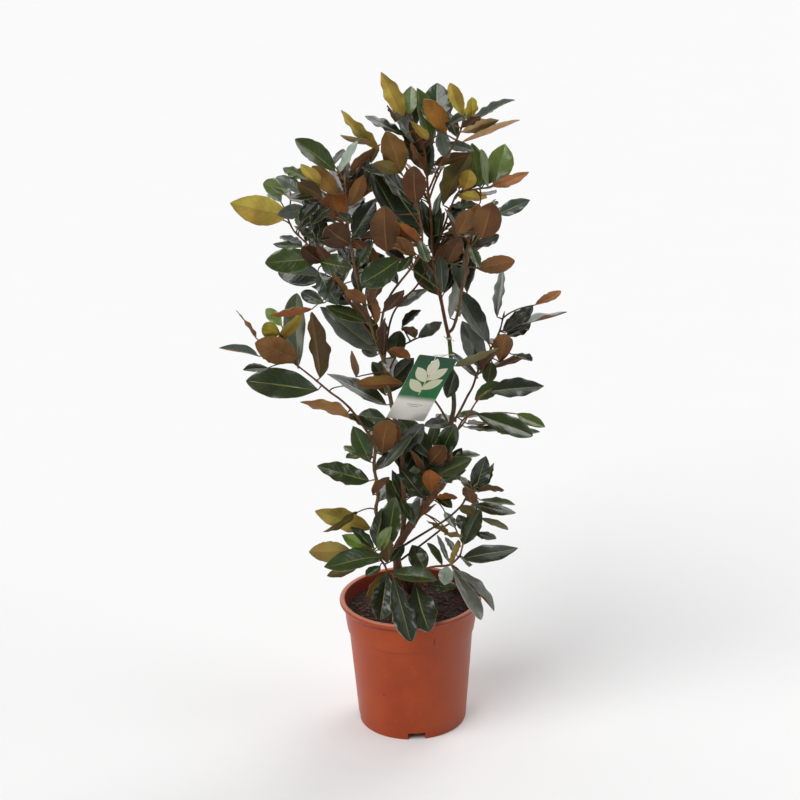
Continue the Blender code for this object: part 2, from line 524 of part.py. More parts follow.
def crossings(leaf, node, own_stem, obstacles):
    """How many other pieces the leaf would cut through."""
    whole = Obstacle(node, *leaf.mesh(grow=LEAF_CLEARANCE))
    blade = Obstacle(node, *leaf.mesh(grow=LEAF_CLEARANCE, stalk=False))
    count = 0
    for other in obstacles:
        mine = whole if other.node != node else blade
        theirs = other.blade if other.node == node and hasattr(other, "blade") else other
        if mine.near(theirs) and mine.tree.overlap(theirs.tree):
            count += 1 if other.node == node else 3
    if blade.near(own_stem) and blade.tree.overlap(own_stem.tree):
        count += 1
    return count


def add_obstacle(leaf, node, obstacles):
    """Keep a placed leaf clear of the ones that follow."""
    whole = Obstacle(node, *leaf.mesh())
    whole.blade = Obstacle(node, *leaf.mesh(stalk=False))
    obstacles.append(whole)


def tries():
    """The shifts of the tip, turns and shifts of the blade's start to try, the smallest first."""
    tips = [0.0]
    for step in TIP_SHIFTS:
        tips += [step * MM, -step * MM]
    for root_shift in ROOT_SHIFTS:
        for base_shift in BASE_SHIFTS:
            for roll_change in ROLL_CHANGES:
                for tip_shift in tips:
                    yield tip_shift, roll_change, base_shift * MM, root_shift


def place_seen_leaves(stems, obstacles, stem_obstacles):
    """Every leaf of the table, moved along its line of sight until it is clear of what is there."""
    placed = {name: [] for name in STEMS}
    for name, rows in LEAVES.items():
        for row in rows:
            best, best_count = None, None
            for choice in tries():
                leaf = leaf_from_picture(stems[name], row, *choice)
                if leaf.length > LONGEST_LEAF:
                    continue
                count = crossings(leaf, name, stem_obstacles[name], obstacles)
                if best is None or count < best_count:
                    best, best_count = leaf, count
                if count == 0:
                    break
            add_obstacle(best, name, obstacles)
            placed[name].append(best)
    return placed


def seen_share(leaf, front_tree):
    """How much of a leaf the camera would see past the leaves in front."""
    seen, count = 0, 0
    for step in range(1, 11):
        for side in (-1, -0.5, 0, 0.5, 1):
            t = step / 10
            point = leaf.rib(t) + leaf.side * (leaf.half_width(t) * side)
            toward = point - EYE
            hit = front_tree.ray_cast(EYE, toward.normalized(), toward.length - 4 * MM)
            seen += hit[0] is None
            count += 1
    return seen / count


def place_hidden_leaves(stems, placed, obstacles, stem_obstacles):
    """Leaves on the far side, by a seeded rule, where those in front cover them."""
    draw = random.Random(HIDDEN_SEED)
    corners, triangles = [], []
    for leaves in placed.values():
        for leaf in leaves:
            more, faces = leaf.mesh()
            triangles += [tuple(index + len(corners) for index in face) for face in faces]
            corners += more
    front_tree = BVHTree.FromPolygons(corners, triangles)
    for name, count in HIDDEN_LEAVES.items():
        stem = stems[name]
        found = 0
        for _ in range(HIDDEN_TRIES * count):
            share = draw.uniform(*HIDDEN_STEM_SHARE)
            turn = math.radians(draw.uniform(*HIDDEN_TURN))
            rise = math.radians(draw.uniform(*HIDDEN_RISE))
            length = draw.uniform(*HIDDEN_LENGTH)
            tilt = draw.uniform(*HIDDEN_TILT)
            if found == count:
                break
            root, stem_way, _ = stem.at(share)
            if root.z < HIDDEN_LOWEST:
                continue
            way = Vector((math.sin(turn) * math.cos(rise), math.cos(turn) * math.cos(rise), math.sin(rise)))
            base = root + (way * 0.7 + stem_way * 0.3).normalized() * HIDDEN_STALK
            up = Vector((0, 0, 1)) + way.cross(Vector((0, 0, 1))) * tilt
            leaf = Leaf(root, base, base + way * length, up, length * LEAF_ASPECT, stem_way)
            if seen_share(leaf, front_tree) > MOST_SEEN:
                continue
            if crossings(leaf, name, stem_obstacles[name], obstacles):
                continue
            add_obstacle(leaf, name, obstacles)
            placed[name].append(leaf)
            found += 1


def mesh_object(name, corners, faces, collection):
    """An object from corners and faces, its faces looking outward."""
    mesh = bpy.data.meshes.new(name)
    mesh.from_pydata([tuple(corner) for corner in corners], [], faces)
    mesh.update()
    shape = bmesh.new()
    shape.from_mesh(mesh)
    bmesh.ops.recalc_face_normals(shape, faces=shape.faces)
    shape.to_mesh(mesh)
    shape.free()
    thing = bpy.data.objects.new(name, mesh)
    collection.objects.link(thing)
    return thing


def tube(name, points, radii, sides, collection, closed=False):
    """A round bar along a line of points, as a curve with a bevel, made a mesh with welded caps."""
    curve = bpy.data.curves.new(name, "CURVE")
    curve.dimensions = "3D"
    curve.bevel_depth = 1.0
    curve.bevel_resolution = (sides - 4) // 2
    curve.use_fill_caps = not closed
    line = curve.splines.new("POLY")
    line.points.add(len(points) - 1)
    line.use_cyclic_u = closed
    for knot, point, radius in zip(line.points, points, radii):
        knot.co = (*point, 1)
        knot.radius = radius
    drawn = bpy.data.objects.new(name + "_curve", curve)
    collection.objects.link(drawn)
    graph = bpy.context.evaluated_depsgraph_get()
    mesh = bpy.data.meshes.new_from_object(drawn.evaluated_get(graph))
    mesh.name = name
    shape = bmesh.new()
    shape.from_mesh(mesh)
    bmesh.ops.remove_doubles(shape, verts=shape.verts, dist=0.01 * MM)
    bmesh.ops.recalc_face_normals(shape, faces=shape.faces)
    shape.to_mesh(mesh)
    shape.free()
    thing = bpy.data.objects.new(name, mesh)
    thing.matrix_world = drawn.matrix_world
    collection.objects.link(thing)
    bpy.data.objects.remove(drawn, do_unlink=True)
    return thing


def turned(name, outline, collection):
    """A turned shape from radius and height pairs, outside from top to bottom and then inside."""
    mesh = bpy.data.meshes.new(name)
    edges = [(index, (index + 1) % len(outline)) for index in range(len(outline))]
    if outline[0][0] < 1e-9 and outline[-1][0] < 1e-9:
        edges = edges[:-1]
    mesh.from_pydata([(radius, 0, height) for radius, height in outline], edges, [])
    thing = bpy.data.objects.new(name, mesh)
    collection.objects.link(thing)
    screw = thing.modifiers.new("Turn", "SCREW")
    screw.steps = screw.render_steps = ROUND_SIDES
    screw.use_merge_vertices = True
    screw.merge_threshold = 0.00005
    screw.use_normal_calculate = True
    screw.use_smooth_shade = True
    return thing


def cut(thing, cutter, solver="EXACT"):
    """A Boolean modifier that takes one cutter away."""
    boolean = thing.modifiers.new("Cut", "BOOLEAN")
    boolean.operation = "DIFFERENCE"
    boolean.solver = solver
    boolean.object = cutter


def apply_modifiers(thing):
    """Bake an object's modifiers into its mesh."""
    graph = bpy.context.evaluated_depsgraph_get()
    mesh = bpy.data.meshes.new_from_object(thing.evaluated_get(graph))
    thing.modifiers.clear()
    old = thing.data
    thing.data = mesh
    bpy.data.meshes.remove(old)
    mesh.name = thing.name


def wall_radius(height):
    """The outer radius of the pot's lower wall."""
    return BASE_RADIUS + 1.2 * MM + WALL_TAPER * height


def pot_outside():
    """The pot's outer outline, from the top of the lip down to the foot."""
    lip_middle = RIM_RADIUS - LIP_ROLL
    lip_height = POT_HEIGHT - LIP_ROLL
    outline = []
    for step in range(5):
        angle = math.radians(90 - step * 42)
        outline.append((lip_middle + LIP_ROLL * math.cos(angle), lip_height + LIP_ROLL * math.sin(angle)))
    step_radius = wall_radius(STEP_HEIGHT) + STEP_DEPTH
    outline += COLLAR_OUTLINE
    outline += [(step_radius, STEP_HEIGHT + 3 * MM), (step_radius - 0.4 * MM, STEP_HEIGHT),
                (wall_radius(STEP_HEIGHT), STEP_HEIGHT - 1.5 * MM), (BASE_RADIUS + 0.8 * MM, 2.5 * MM),
                (BASE_RADIUS, 0.0)]
    return outline


def pot_inside():
    """The pot's inner outline, from its floor up to the lip."""
    return [(BASE_RADIUS - 2 * MM, FOOT_HEIGHT + WALL),
            (wall_radius(STEP_HEIGHT - 3 * MM) - WALL, STEP_HEIGHT - 3 * MM),
            (wall_radius(STEP_HEIGHT) + STEP_DEPTH - WALL, STEP_HEIGHT + 8 * MM), *COLLAR_INSIDE]


def make_pot(parts, cutters):
    """The pot: a turned shell on a foot ring with drain notches, drain holes and a flat middle boss."""
    underside = [(BASE_RADIUS - FOOT_WIDTH, 0.0), (BASE_RADIUS - FOOT_WIDTH - 1 * MM, FOOT_HEIGHT),
                 (BOSS_RADIUS + 2 * MM, FOOT_HEIGHT), (BOSS_RADIUS, 0.0), (0.0, 0.0)]
    outline = [(0.0, FOOT_HEIGHT + WALL)] + pot_inside() + pot_outside() + underside
    pot = turned("pot", outline, parts)
    for index in range(NOTCH_COUNT):
        angle = math.radians(-90) + NOTCH_TURN + index * 2 * math.pi / NOTCH_COUNT
        bpy.ops.mesh.primitive_cube_add(size=1)
        notch = bpy.context.object
        notch.name = f"drain_notch_{index}"
        notch.scale = (NOTCH_DEPTH, NOTCH_WIDTH, 2 * FOOT_HEIGHT)
        notch.rotation_euler = (0, 0, angle)
        notch.location = Vector((math.cos(angle), math.sin(angle), 0)) * (BASE_RADIUS - 2 * MM)
        to_collection(notch, cutters)
        cut(pot, notch)
    for index in range(DRAIN_COUNT):
        angle = math.radians(-90) + NOTCH_TURN + (index + 0.5) * 2 * math.pi / DRAIN_COUNT
        bpy.ops.mesh.primitive_cylinder_add(vertices=8, radius=DRAIN_RADIUS, depth=CUTTER_LENGTH)
        hole = bpy.context.object
        hole.name = f"drain_hole_{index}"
        hole.location = Vector((math.cos(angle), math.sin(angle), 0)) * DRAIN_CIRCLE
        hole.location.z = FOOT_HEIGHT + WALL / 2
        to_collection(hole, cutters)
        cut(pot, hole)
    pot.data.materials.append(plain_material("pot_plastic", (0.42, 0.13, 0.07), 0.45))
    return pot


def to_collection(thing, collection):
    """Move an object that an operator made into a collection."""
    for holder in list(thing.users_collection):
        holder.objects.unlink(thing)
    collection.objects.link(thing)


def make_soil(parts, cutters, stem_cutters):
    """The potting soil, with a plain hole for each stem that stands in it."""
    top = POT_HEIGHT - SOIL_BELOW_RIM
    inside = pot_inside()
    floor = FOOT_HEIGHT + WALL + CLEARANCE
    outline = [(0.0, top)]
    outline.append((radius_at(inside, top) - CLEARANCE, top))
    for radius, height in reversed(inside[1:]):
        if height < top - 1 * MM:
            outline.append((radius - CLEARANCE, height))
    outline += [(inside[0][0] - CLEARANCE, floor), (0.0, floor)]
    soil = turned("soil", outline, parts)
    for cutter in stem_cutters:
        cut(soil, cutter)
    soil.data.materials.append(plain_material("potting_soil", (0.035, 0.02, 0.015), 0.95))
    return soil


def radius_at(outline, height):
    """The radius of an outline at a height."""
    for (low_radius, low), (high_radius, high) in zip(outline, outline[1:]):
        if low <= height <= high:
            return low_radius + (high_radius - low_radius) * (height - low) / (high - low)
    return outline[-1][0]


def label_frame():
    """The label's top left corner and its two edges."""
    corner = sight(*LABEL_CORNER, LABEL_BEHIND * CM)
    right = sight(*LABEL_RIGHT, (LABEL_BEHIND + LABEL_RIGHT_BACK) * CM) - corner
    foot = sight(*LABEL_FOOT, (LABEL_BEHIND + LABEL_FOOT_BACK) * CM) - corner
    across = right.normalized()
    down = (foot - across * foot.dot(across))
    return corner, across, right.length, down.normalized(), down.length


def make_label(parts, cutters):
    """The picture label: a stiff card with a punched hole."""
    corner, across, width, down, height = label_frame()
    normal = across.cross(-down)
    bpy.ops.mesh.primitive_cube_add(size=1)
    label = bpy.context.object
    label.name = "plant_label"
    middle = corner + across * (width / 2) + down * (height / 2)
    turn = Matrix((across, -down, normal)).transposed().to_4x4()
    label.matrix_world = Matrix.Translation(middle) @ turn @ Matrix.Diagonal(
        (width, height, LABEL_THICKNESS, 1))
    to_collection(label, parts)
    hole_place = corner + across * (width * LABEL_HOLE[0]) + down * (height * LABEL_HOLE[1])
    bpy.ops.mesh.primitive_cylinder_add(vertices=16, radius=LABEL_HOLE_RADIUS, depth=CUTTER_LENGTH)
    hole = bpy.context.object
    hole.name = "label_hole"
    hole.matrix_world = Matrix.Translation(hole_place) @ turn
    to_collection(hole, cutters)
    cut(label, hole)
    label.data.materials.append(plain_material("label_card", (0.1, 0.35, 0.18), 0.4))
    return label


def loop_points(leader):
    """The label loop's centre line: through the hole, over the label's top edge and round the leader."""
    corner, across, width, down, height = label_frame()
    normal = across.cross(-down)
    reach = LOOP_RADIUS + 0.45 * MM + LABEL_THICKNESS / 2
    hole = corner + across * (width * LABEL_HOLE[0]) + down * (height * LABEL_HOLE[1])
    edge = corner + across * (width * LABEL_HOLE[0])
    share = leader.nearest(sight(*LOOP_PLACE, 0), EYE)
    middle, way, radius = leader.at(share)
    toward = hole - middle
    toward = (toward - way * toward.dot(way)).normalized()
    side = way.cross(toward)
    ring = (radius + LOOP_RADIUS + 0.45 * MM) / math.cos(math.radians(20))
    front = [hole + normal * reach * 1.2, edge + normal * reach * 1.2,
             edge + normal * reach * 0.6 - down * reach * 1.3,
             edge - normal * reach * 0.6 - down * reach * 1.3, edge - normal * reach * 2]
    around = [middle + (toward * math.cos(angle) + side * math.sin(angle)) * ring
              for angle in (math.radians(80 + 40 * step) for step in range(6))]
    back = [hole - normal * reach * 4, hole - normal * reach * 1.2]
    return front + around + back


def make_loop(parts, leader):
    """The thin plastic loop that the label hangs on."""
    line = loop_points(leader)
    loop = tube("label_loop", line, [LOOP_RADIUS] * len(line), 6, parts, closed=True)
    loop.data.materials.append(plain_material("label_loop_plastic", (0.75, 0.78, 0.72), 0.4))
    return loop


def make_tie(parts, leader):
    """The pale tie round the leader, just under its fork."""
    share = leader.nearest(sight(449, TIE_DOWN, 0), EYE)
    middle, way, radius = leader.at(share)
    inner = radius + CLEARANCE
    outline = [(inner, -3 * MM), (inner + 1.1 * MM, -2.6 * MM), (inner + 1.5 * MM, 0.0),
               (inner + 1.1 * MM, 2.6 * MM), (inner, 3 * MM)]
    mesh = bpy.data.meshes.new("stem_tie")
    edges = [(index, (index + 1) % len(outline)) for index in range(len(outline))]
    mesh.from_pydata([(across, 0, height) for across, height in reversed(outline)], edges, [])
    tie = bpy.data.objects.new("stem_tie", mesh)
    parts.objects.link(tie)
    screw = tie.modifiers.new("Turn", "SCREW")
    screw.steps = screw.render_steps = 16
    screw.use_merge_vertices = True
    screw.merge_threshold = 0.00005
    screw.use_normal_calculate = True
    tie.matrix_world = Matrix.Translation(middle) @ way.to_track_quat("Z", "Y").to_matrix().to_4x4()
    tie.data.materials.append(plain_material("tie_twine", (0.6, 0.5, 0.38), 0.8))
    return tie


def make_stem_node(stem, leaves, parts, cutter_of):
    """One node: a stem with its leaves sunk into it, cut clear of the stem that carries it."""
    node = tube(stem.name, stem.points, stem.radii, stem.sides, parts)
    holder = bpy.data.collections.new(stem.name + "_leaves")
    bpy.context.scene.collection.children.link(holder)
    for index, leaf in enumerate(leaves):
        mesh_object(f"{stem.name}_leaf_{index}", *leaf.mesh(), holder)
    if leaves:
        join = node.modifiers.new("Leaves", "BOOLEAN")
        join.operation = "UNION"
        join.operand_type = "COLLECTION"
        join.collection = holder
        join.solver = "MANIFOLD"
        apply_modifiers(node)
    for thing in list(holder.objects):
        bpy.data.objects.remove(thing, do_unlink=True)
    bpy.data.collections.remove(holder)
    if stem.parent:
        cut(node, cutter_of[stem.parent], "MANIFOLD")
        apply_modifiers(node)
    keep_one_piece(node)
    node.data.materials.clear()
    node.data.materials.append(plain_material(stem.name + "_green", (0.09, 0.13, 0.05), 0.5))


def keep_one_piece(thing):
    """Weld corners that fall together, and keep only the largest group of faces that share edges."""
    shape = bmesh.new()
    shape.from_mesh(thing.data)
    bmesh.ops.remove_doubles(shape, verts=shape.verts, dist=WELD)
    unseen = set(shape.faces)
    groups = []
    while unseen:
        stack = [unseen.pop()]
        group = set(stack)
        while stack:
            for edge in stack.pop().edges:
                for other in edge.link_faces:
                    if other in unseen:
                        unseen.discard(other)
                        group.add(other)
                        stack.append(other)
        groups.append(group)
    groups.sort(key=len, reverse=True)
    for group in groups[1:]:
        bmesh.ops.delete(shape, geom=list(group), context="FACES")
    shape.to_mesh(thing.data)
    shape.free()


def main():
    """Build every part and return the stems and the leaves placed on each."""
    clear_scene()
    parts = new_collection("potted_magnolia")
    cutters = new_collection("cutters")
    stems = {name: Stem(name) for name in STEMS}
    cutter_of, stem_obstacles, obstacles = {}, {}, []
    for name, stem in stems.items():
        radii = [radius + STEM_CLEARANCE for radius in stem.radii]
        cutter_of[name] = tube(name + "_clearance", stem.points, radii, stem.sides, cutters)
        piece = Obstacle(name, *mesh_of(cutter_of[name]))
        piece.blade = piece
        stem_obstacles[name] = piece
        obstacles.append(piece)
    pot = make_pot(parts, cutters)
    soil = make_soil(parts, cutters, [cutter_of[name] for name, stem in stems.items() if stem.parent is None])
    label = make_label(parts, cutters)
    loop = make_loop(parts, stems["trunk_and_right_leader"])
    tie = make_tie(parts, stems["trunk_and_right_leader"])
    for thing in (pot, soil, label, loop, tie):
        obstacles.append(Obstacle(thing.name, *mesh_of(thing)))
    placed = place_seen_leaves(stems, obstacles, stem_obstacles)
    place_hidden_leaves(stems, placed, obstacles, stem_obstacles)
    for name, stem in stems.items():
        make_stem_node(stem, placed[name], parts, cutter_of)
    for cutter in cutters.objects:
        cutter.hide_render = True
        cutter.display_type = "WIRE"
    return stems, placed


main()
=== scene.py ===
"""The look of the potted southern magnolia: fine leaves with veins, bark, a moulded plastic pot, soil and a
label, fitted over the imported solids. Metres, +Z up. The leaves are placed by the same rule as the solids."""
import math
import random

import bmesh
import bpy
import numpy as np
from mathutils import Matrix, Vector
from mathutils.bvhtree import BVHTree


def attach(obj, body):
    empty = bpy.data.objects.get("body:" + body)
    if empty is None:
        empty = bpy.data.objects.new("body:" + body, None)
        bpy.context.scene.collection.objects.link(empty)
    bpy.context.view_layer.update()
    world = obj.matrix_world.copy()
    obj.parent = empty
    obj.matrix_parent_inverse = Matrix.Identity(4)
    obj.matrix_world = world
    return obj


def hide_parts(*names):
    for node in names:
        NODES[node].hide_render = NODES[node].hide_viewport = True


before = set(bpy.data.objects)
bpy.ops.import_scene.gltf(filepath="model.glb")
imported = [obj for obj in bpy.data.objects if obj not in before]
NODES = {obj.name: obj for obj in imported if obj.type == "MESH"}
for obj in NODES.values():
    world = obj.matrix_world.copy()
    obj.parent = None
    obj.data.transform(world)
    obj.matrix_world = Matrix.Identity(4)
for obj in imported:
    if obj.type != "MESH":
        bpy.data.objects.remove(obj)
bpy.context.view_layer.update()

MM = 0.001
CM = 0.01

# The pot: a 28 cm nursery pot
POT_HEIGHT = 262.6 * MM
RIM_RADIUS = 140 * MM
LIP_ROLL = 6 * MM
BASE_RADIUS = 106.6 * MM
WALL = 2.2 * MM
STEP_HEIGHT = 197 * MM
STEP_DEPTH = 3.2 * MM
WALL_TAPER = 0.0745
FOOT_HEIGHT = 14 * MM
FOOT_WIDTH = 10 * MM
BOSS_RADIUS = 30 * MM
NOTCH_WIDTH = 34 * MM
NOTCH_COUNT = 4
NOTCH_DEPTH = 40 * MM
NOTCH_TURN = math.radians(3.5)
DRAIN_COUNT = 6
DRAIN_RADIUS = 5 * MM
DRAIN_CIRCLE = 72 * MM
WALL_MARK = (43.8 * MM, 218 * MM, 1.3 * MM, 9 * MM)
WALL_SPOT = (-55.7 * MM, 95 * MM, 1.8 * MM, 2.2 * MM)
COLLAR_OUTLINE = ((130.4 * MM, 243 * MM), (129.0 * MM, 224 * MM), (127.3 * MM, 210 * MM))
COLLAR_INSIDE = ((126.4 * MM, 222 * MM), (128.6 * MM, 252 * MM), (130.2 * MM, 260.2 * MM))
SOIL_BELOW_RIM = 30 * MM
CLEARANCE = 0.35 * MM
CUTTER_LENGTH = 20 * MM
STEM_CLEARANCE = 0.4 * MM
STEM_SPACING = 34 * MM
TRUNK_SIDES = 8
STEM_SIDES = 6
NEAREST_STEPS = 100
NEAREST_GAIN = 0.2 * MM
AXIS_WELD = 0.05 * MM
OUTER_ROUNDING = 0.8 * MM
INNER_ROUNDING = 1.6 * MM
LIP_BOTTOM = -78
POT_STEPS = 168

# The view that the photograph is taken from, fitted to the pot's rim and base
EYE = Vector((-0.0125, -3.0, 1.679))
PITCH_DOWN = math.radians(18.62)
ROLL = math.radians(-1.2)
FOCAL_PIXELS = 1669.0
PICTURE_MIDDLE = 400.0
SENSOR_WIDTH = 36

# Leaves
BLADE_THICKNESS = 0.8 * MM
STALK_HALF_WIDTH = 1.25 * MM
STALK_THICKNESS = 2.2 * MM
LEAF_ASPECT = 0.42
SHORTEST_LEAF = 62 * MM
LONGEST_LEAF = 175 * MM
TIP_SHIFTS = (8, 16, 24, 32, 42, 54, 68, 84)
ROLL_CHANGES = (0.0, 0.35, -0.35)
BASE_SHIFTS = (0, 12, -12, 24, -24)
ROOT_SHIFTS = (0.0, 0.04, -0.04, 0.08, -0.08)
WIDEST_SHARE = 1.06
BLADE_STATIONS = (0.27, 0.66)
SHORT_BLADE = 112 * MM
SHORT_BLADE_STATIONS = (0.46,)
LEAF_CLEARANCE = 0.7 * MM
LEAF_BOW = 0.03
LEAF_FOLD = 0.1
WIDEST_PLACE = 1.08
BLUNTNESS = 0.85

# How far a leaf leans toward or away from the eye, from how long and wide it looks
SEEN_SPARE = 1.02
SEEN_ASPECT = 0.47
LEAN_SHARE = 0.85
DEEPEST_LEAN = 70 * MM
BASE_LEAN_SHARE = 0.3
BASE_LEAN_LIMIT = 12 * MM
STEEPEST_TURN = math.radians(84)
LEVEL_TIP = 2

# Each stem's diameters along it, in millimetres, and its line of points: across and down in the
# photograph's pixels, and how many centimetres behind the pot's axis
LEADER = "trunk_and_right_leader"
STEMS = {
    LEADER: ((19, 17, 15, 11, 9, 8, 6, 5, 4, 3.4), [
        (399, 632, 0), (398, 575, 0), (397, 550, 0), (404, 536, 0), (413, 522, 0.5), (428, 502, 1),
        (437, 491, 1.2), (443, 484, 1.5), (449, 463, 2), (451, 425, 2.6), (454, 405, 3), (452, 380, 3.2),
        (451, 359, 3.2), (449, 338, 3.6), (446, 325, 4), (441, 300, 5), (436, 275, 6), (433, 250, 6.6),
        (431, 215, 7), (428, 190, 7), (426, 162, 6.6), (423, 143, 6), (415, 126, 5), (408, 114, 4.6)]),
    "middle_leader": ((10, 9, 8, 7, 6, 5, 3.6), [
        (402, 538, 0), (404, 512, 0.6), (402, 470, 1), (401, 452, 1), (391, 401, 0.8), (388, 385, 0),
        (383, 357, -2), (377, 343, -3.4), (370, 322, -5.4), (360, 290, -8), (354, 262, -9.6),
        (350, 240, -10.6), (347, 219, -11.2), (347, 200, -11.6), (345, 180, -12)]),
    "left_stem": ((8, 7, 6, 5, 4, 3.2), [
        (397, 556, 0), (384, 535, -1.2), (376, 512, -1.8), (378, 497, -1.5), (377, 483, -1),
        (374, 467, 0), (375, 450, 1), (371, 438, 2), (353, 412, 4), (341, 400, 5.4), (330, 392, 6.6),
        (312, 377, 8.4), (294, 363, 9.6)]),
    "right_thin_stem": ((5, 4.4, 4, 3.4), [
        (400, 548, 0), (411, 541, -1), (434, 527, -4), (448, 518, -6), (461, 506, -8), (466, 498, -9),
        (474, 487, -9.5)]),
    "right_thin_shoot": ((4.4, 4, 3.2), [
        (398, 562, 0), (417, 548, 2.4), (434, 535, 4.4), (447, 525, 6), (458, 521, 7.6), (470, 517, 9)]),
    "low_right_shoot": ((6, 5, 4.4, 3.4), [
        (412, 640, -4), (417, 600, -4.5), (425, 572, -5), (432, 567, -5), (442, 566, -5),
        (450.6, 564.4, -5), (459.5, 556, -5), (462, 548, -5)]),
    "low_left_shoot": ((6, 5.4, 4.4, 3.4), [
        (396, 640, -3), (392, 600, -5), (388, 575, -7), (384, 564, -7), (379, 558, -6.5),
        (371, 548.5, -6)]),
    "top_right_shoot": ((4, 3.6, 3), [
        (428, 192, 7), (440, 165, 4.5), (452, 148, 2), (460, 132, 0), (463, 121, -1)]),
    "right_side_shoot": ((4.2, 3.6, 3), [
        (434, 256, 6.5), (450, 210, 9), (458, 193, 10), (470, 190, 11), (485, 188, 12)]),
    "right_branch": ((6, 5, 4, 3), [
        (448, 333, 3.7), (453, 328, 3), (458, 312, 1), (462, 290, -2), (466, 270, -4), (469, 240, -6.4),
        (477, 228, -8), (488, 221, -9)]),
    "right_spray": ((5, 4.4, 3.6, 3), [
        (454, 421, 2.6), (461, 409, 4), (467, 397, 5.6), (473, 386, 7), (478, 371, 8.2), (486, 358, 9),
        (495, 341, 10), (500, 330, 10.4), (503, 318, 10.6)]),
    "right_mid_shoot": ((4, 3.4, 3), [
        (451, 437, 2.4), (463, 424, -0.6), (470, 412, -2.6), (477, 401, -4.4), (485, 393, -6)]),
    "right_low_spray": ((4, 3.4, 3), [
        (450, 452, 2.2), (457, 431, 4), (464, 419, 5.4), (474, 414, 6.6), (484, 414, 8)]),
    "centre_right_branch": ((5, 4, 3.2), [
        (378, 346, -3.2), (381, 325, -5), (385, 307, -6.4), (393, 291, -7.6), (412, 267, -9.4),
        (421, 252, -10.4), (422, 232, -11), (419, 214, -11)]),
    "centre_branch": ((4.4, 3.6, 3), [
        (384, 362, -1.6), (393, 314, 3), (418, 284, 9), (437, 250, 12.6), (446, 240, 13.6)]),
    "centre_twig": ((3.8, 3.2, 3), [
        (387, 378, -0.4), (393, 362, 1.6), (402, 347, 3.4), (413, 340, 4.4)]),
    "upper_left_branch": ((5, 4.4, 3.8, 3), [
        (376, 341, -3.6), (362, 322, -3.4), (349, 300, -2.4), (340, 285, -1.6), (335, 275, -1.2),
        (321, 262, -0.4), (307, 244, 0.6), (294, 231, 1.2), (288, 219, 1.4)]),
    "upper_left_twig": ((3.8, 3.4, 3), [
        (350, 238, -10.6), (338, 215, -12.4), (323, 203, -14), (308, 192, -15)]),
    "upper_twig": ((3.4, 3.2, 3), [
        (347, 205, -11.5), (356, 175, -9), (368, 155, -7), (377, 147, -6)]),
    "back_low_shoot": ((5, 4, 3), [
        (412, 523, 0.5), (406, 505, 6), (400, 490, 11), (396, 478, 15)]),
    "back_middle_shoot": ((5, 4, 3), [
        (451, 428, 2.6), (440, 408, 8), (428, 392, 13), (418, 380, 17)]),
    "back_left_shoot": ((4.6, 4, 3), [
        (361, 293, -7.8), (352, 262, -1), (346, 238, 6), (340, 216, 12), (336, 202, 15)]),
    "back_high_shoot": ((4.6, 4, 3), [
        (437, 278, 5.8), (426, 262, 11), (414, 240, 16), (406, 222, 19)]),
    "back_top_shoot": ((4, 3.6, 3), [
        (429, 200, 7), (436, 180, 11.5), (446, 160, 15), (452, 146, 17)]),
}

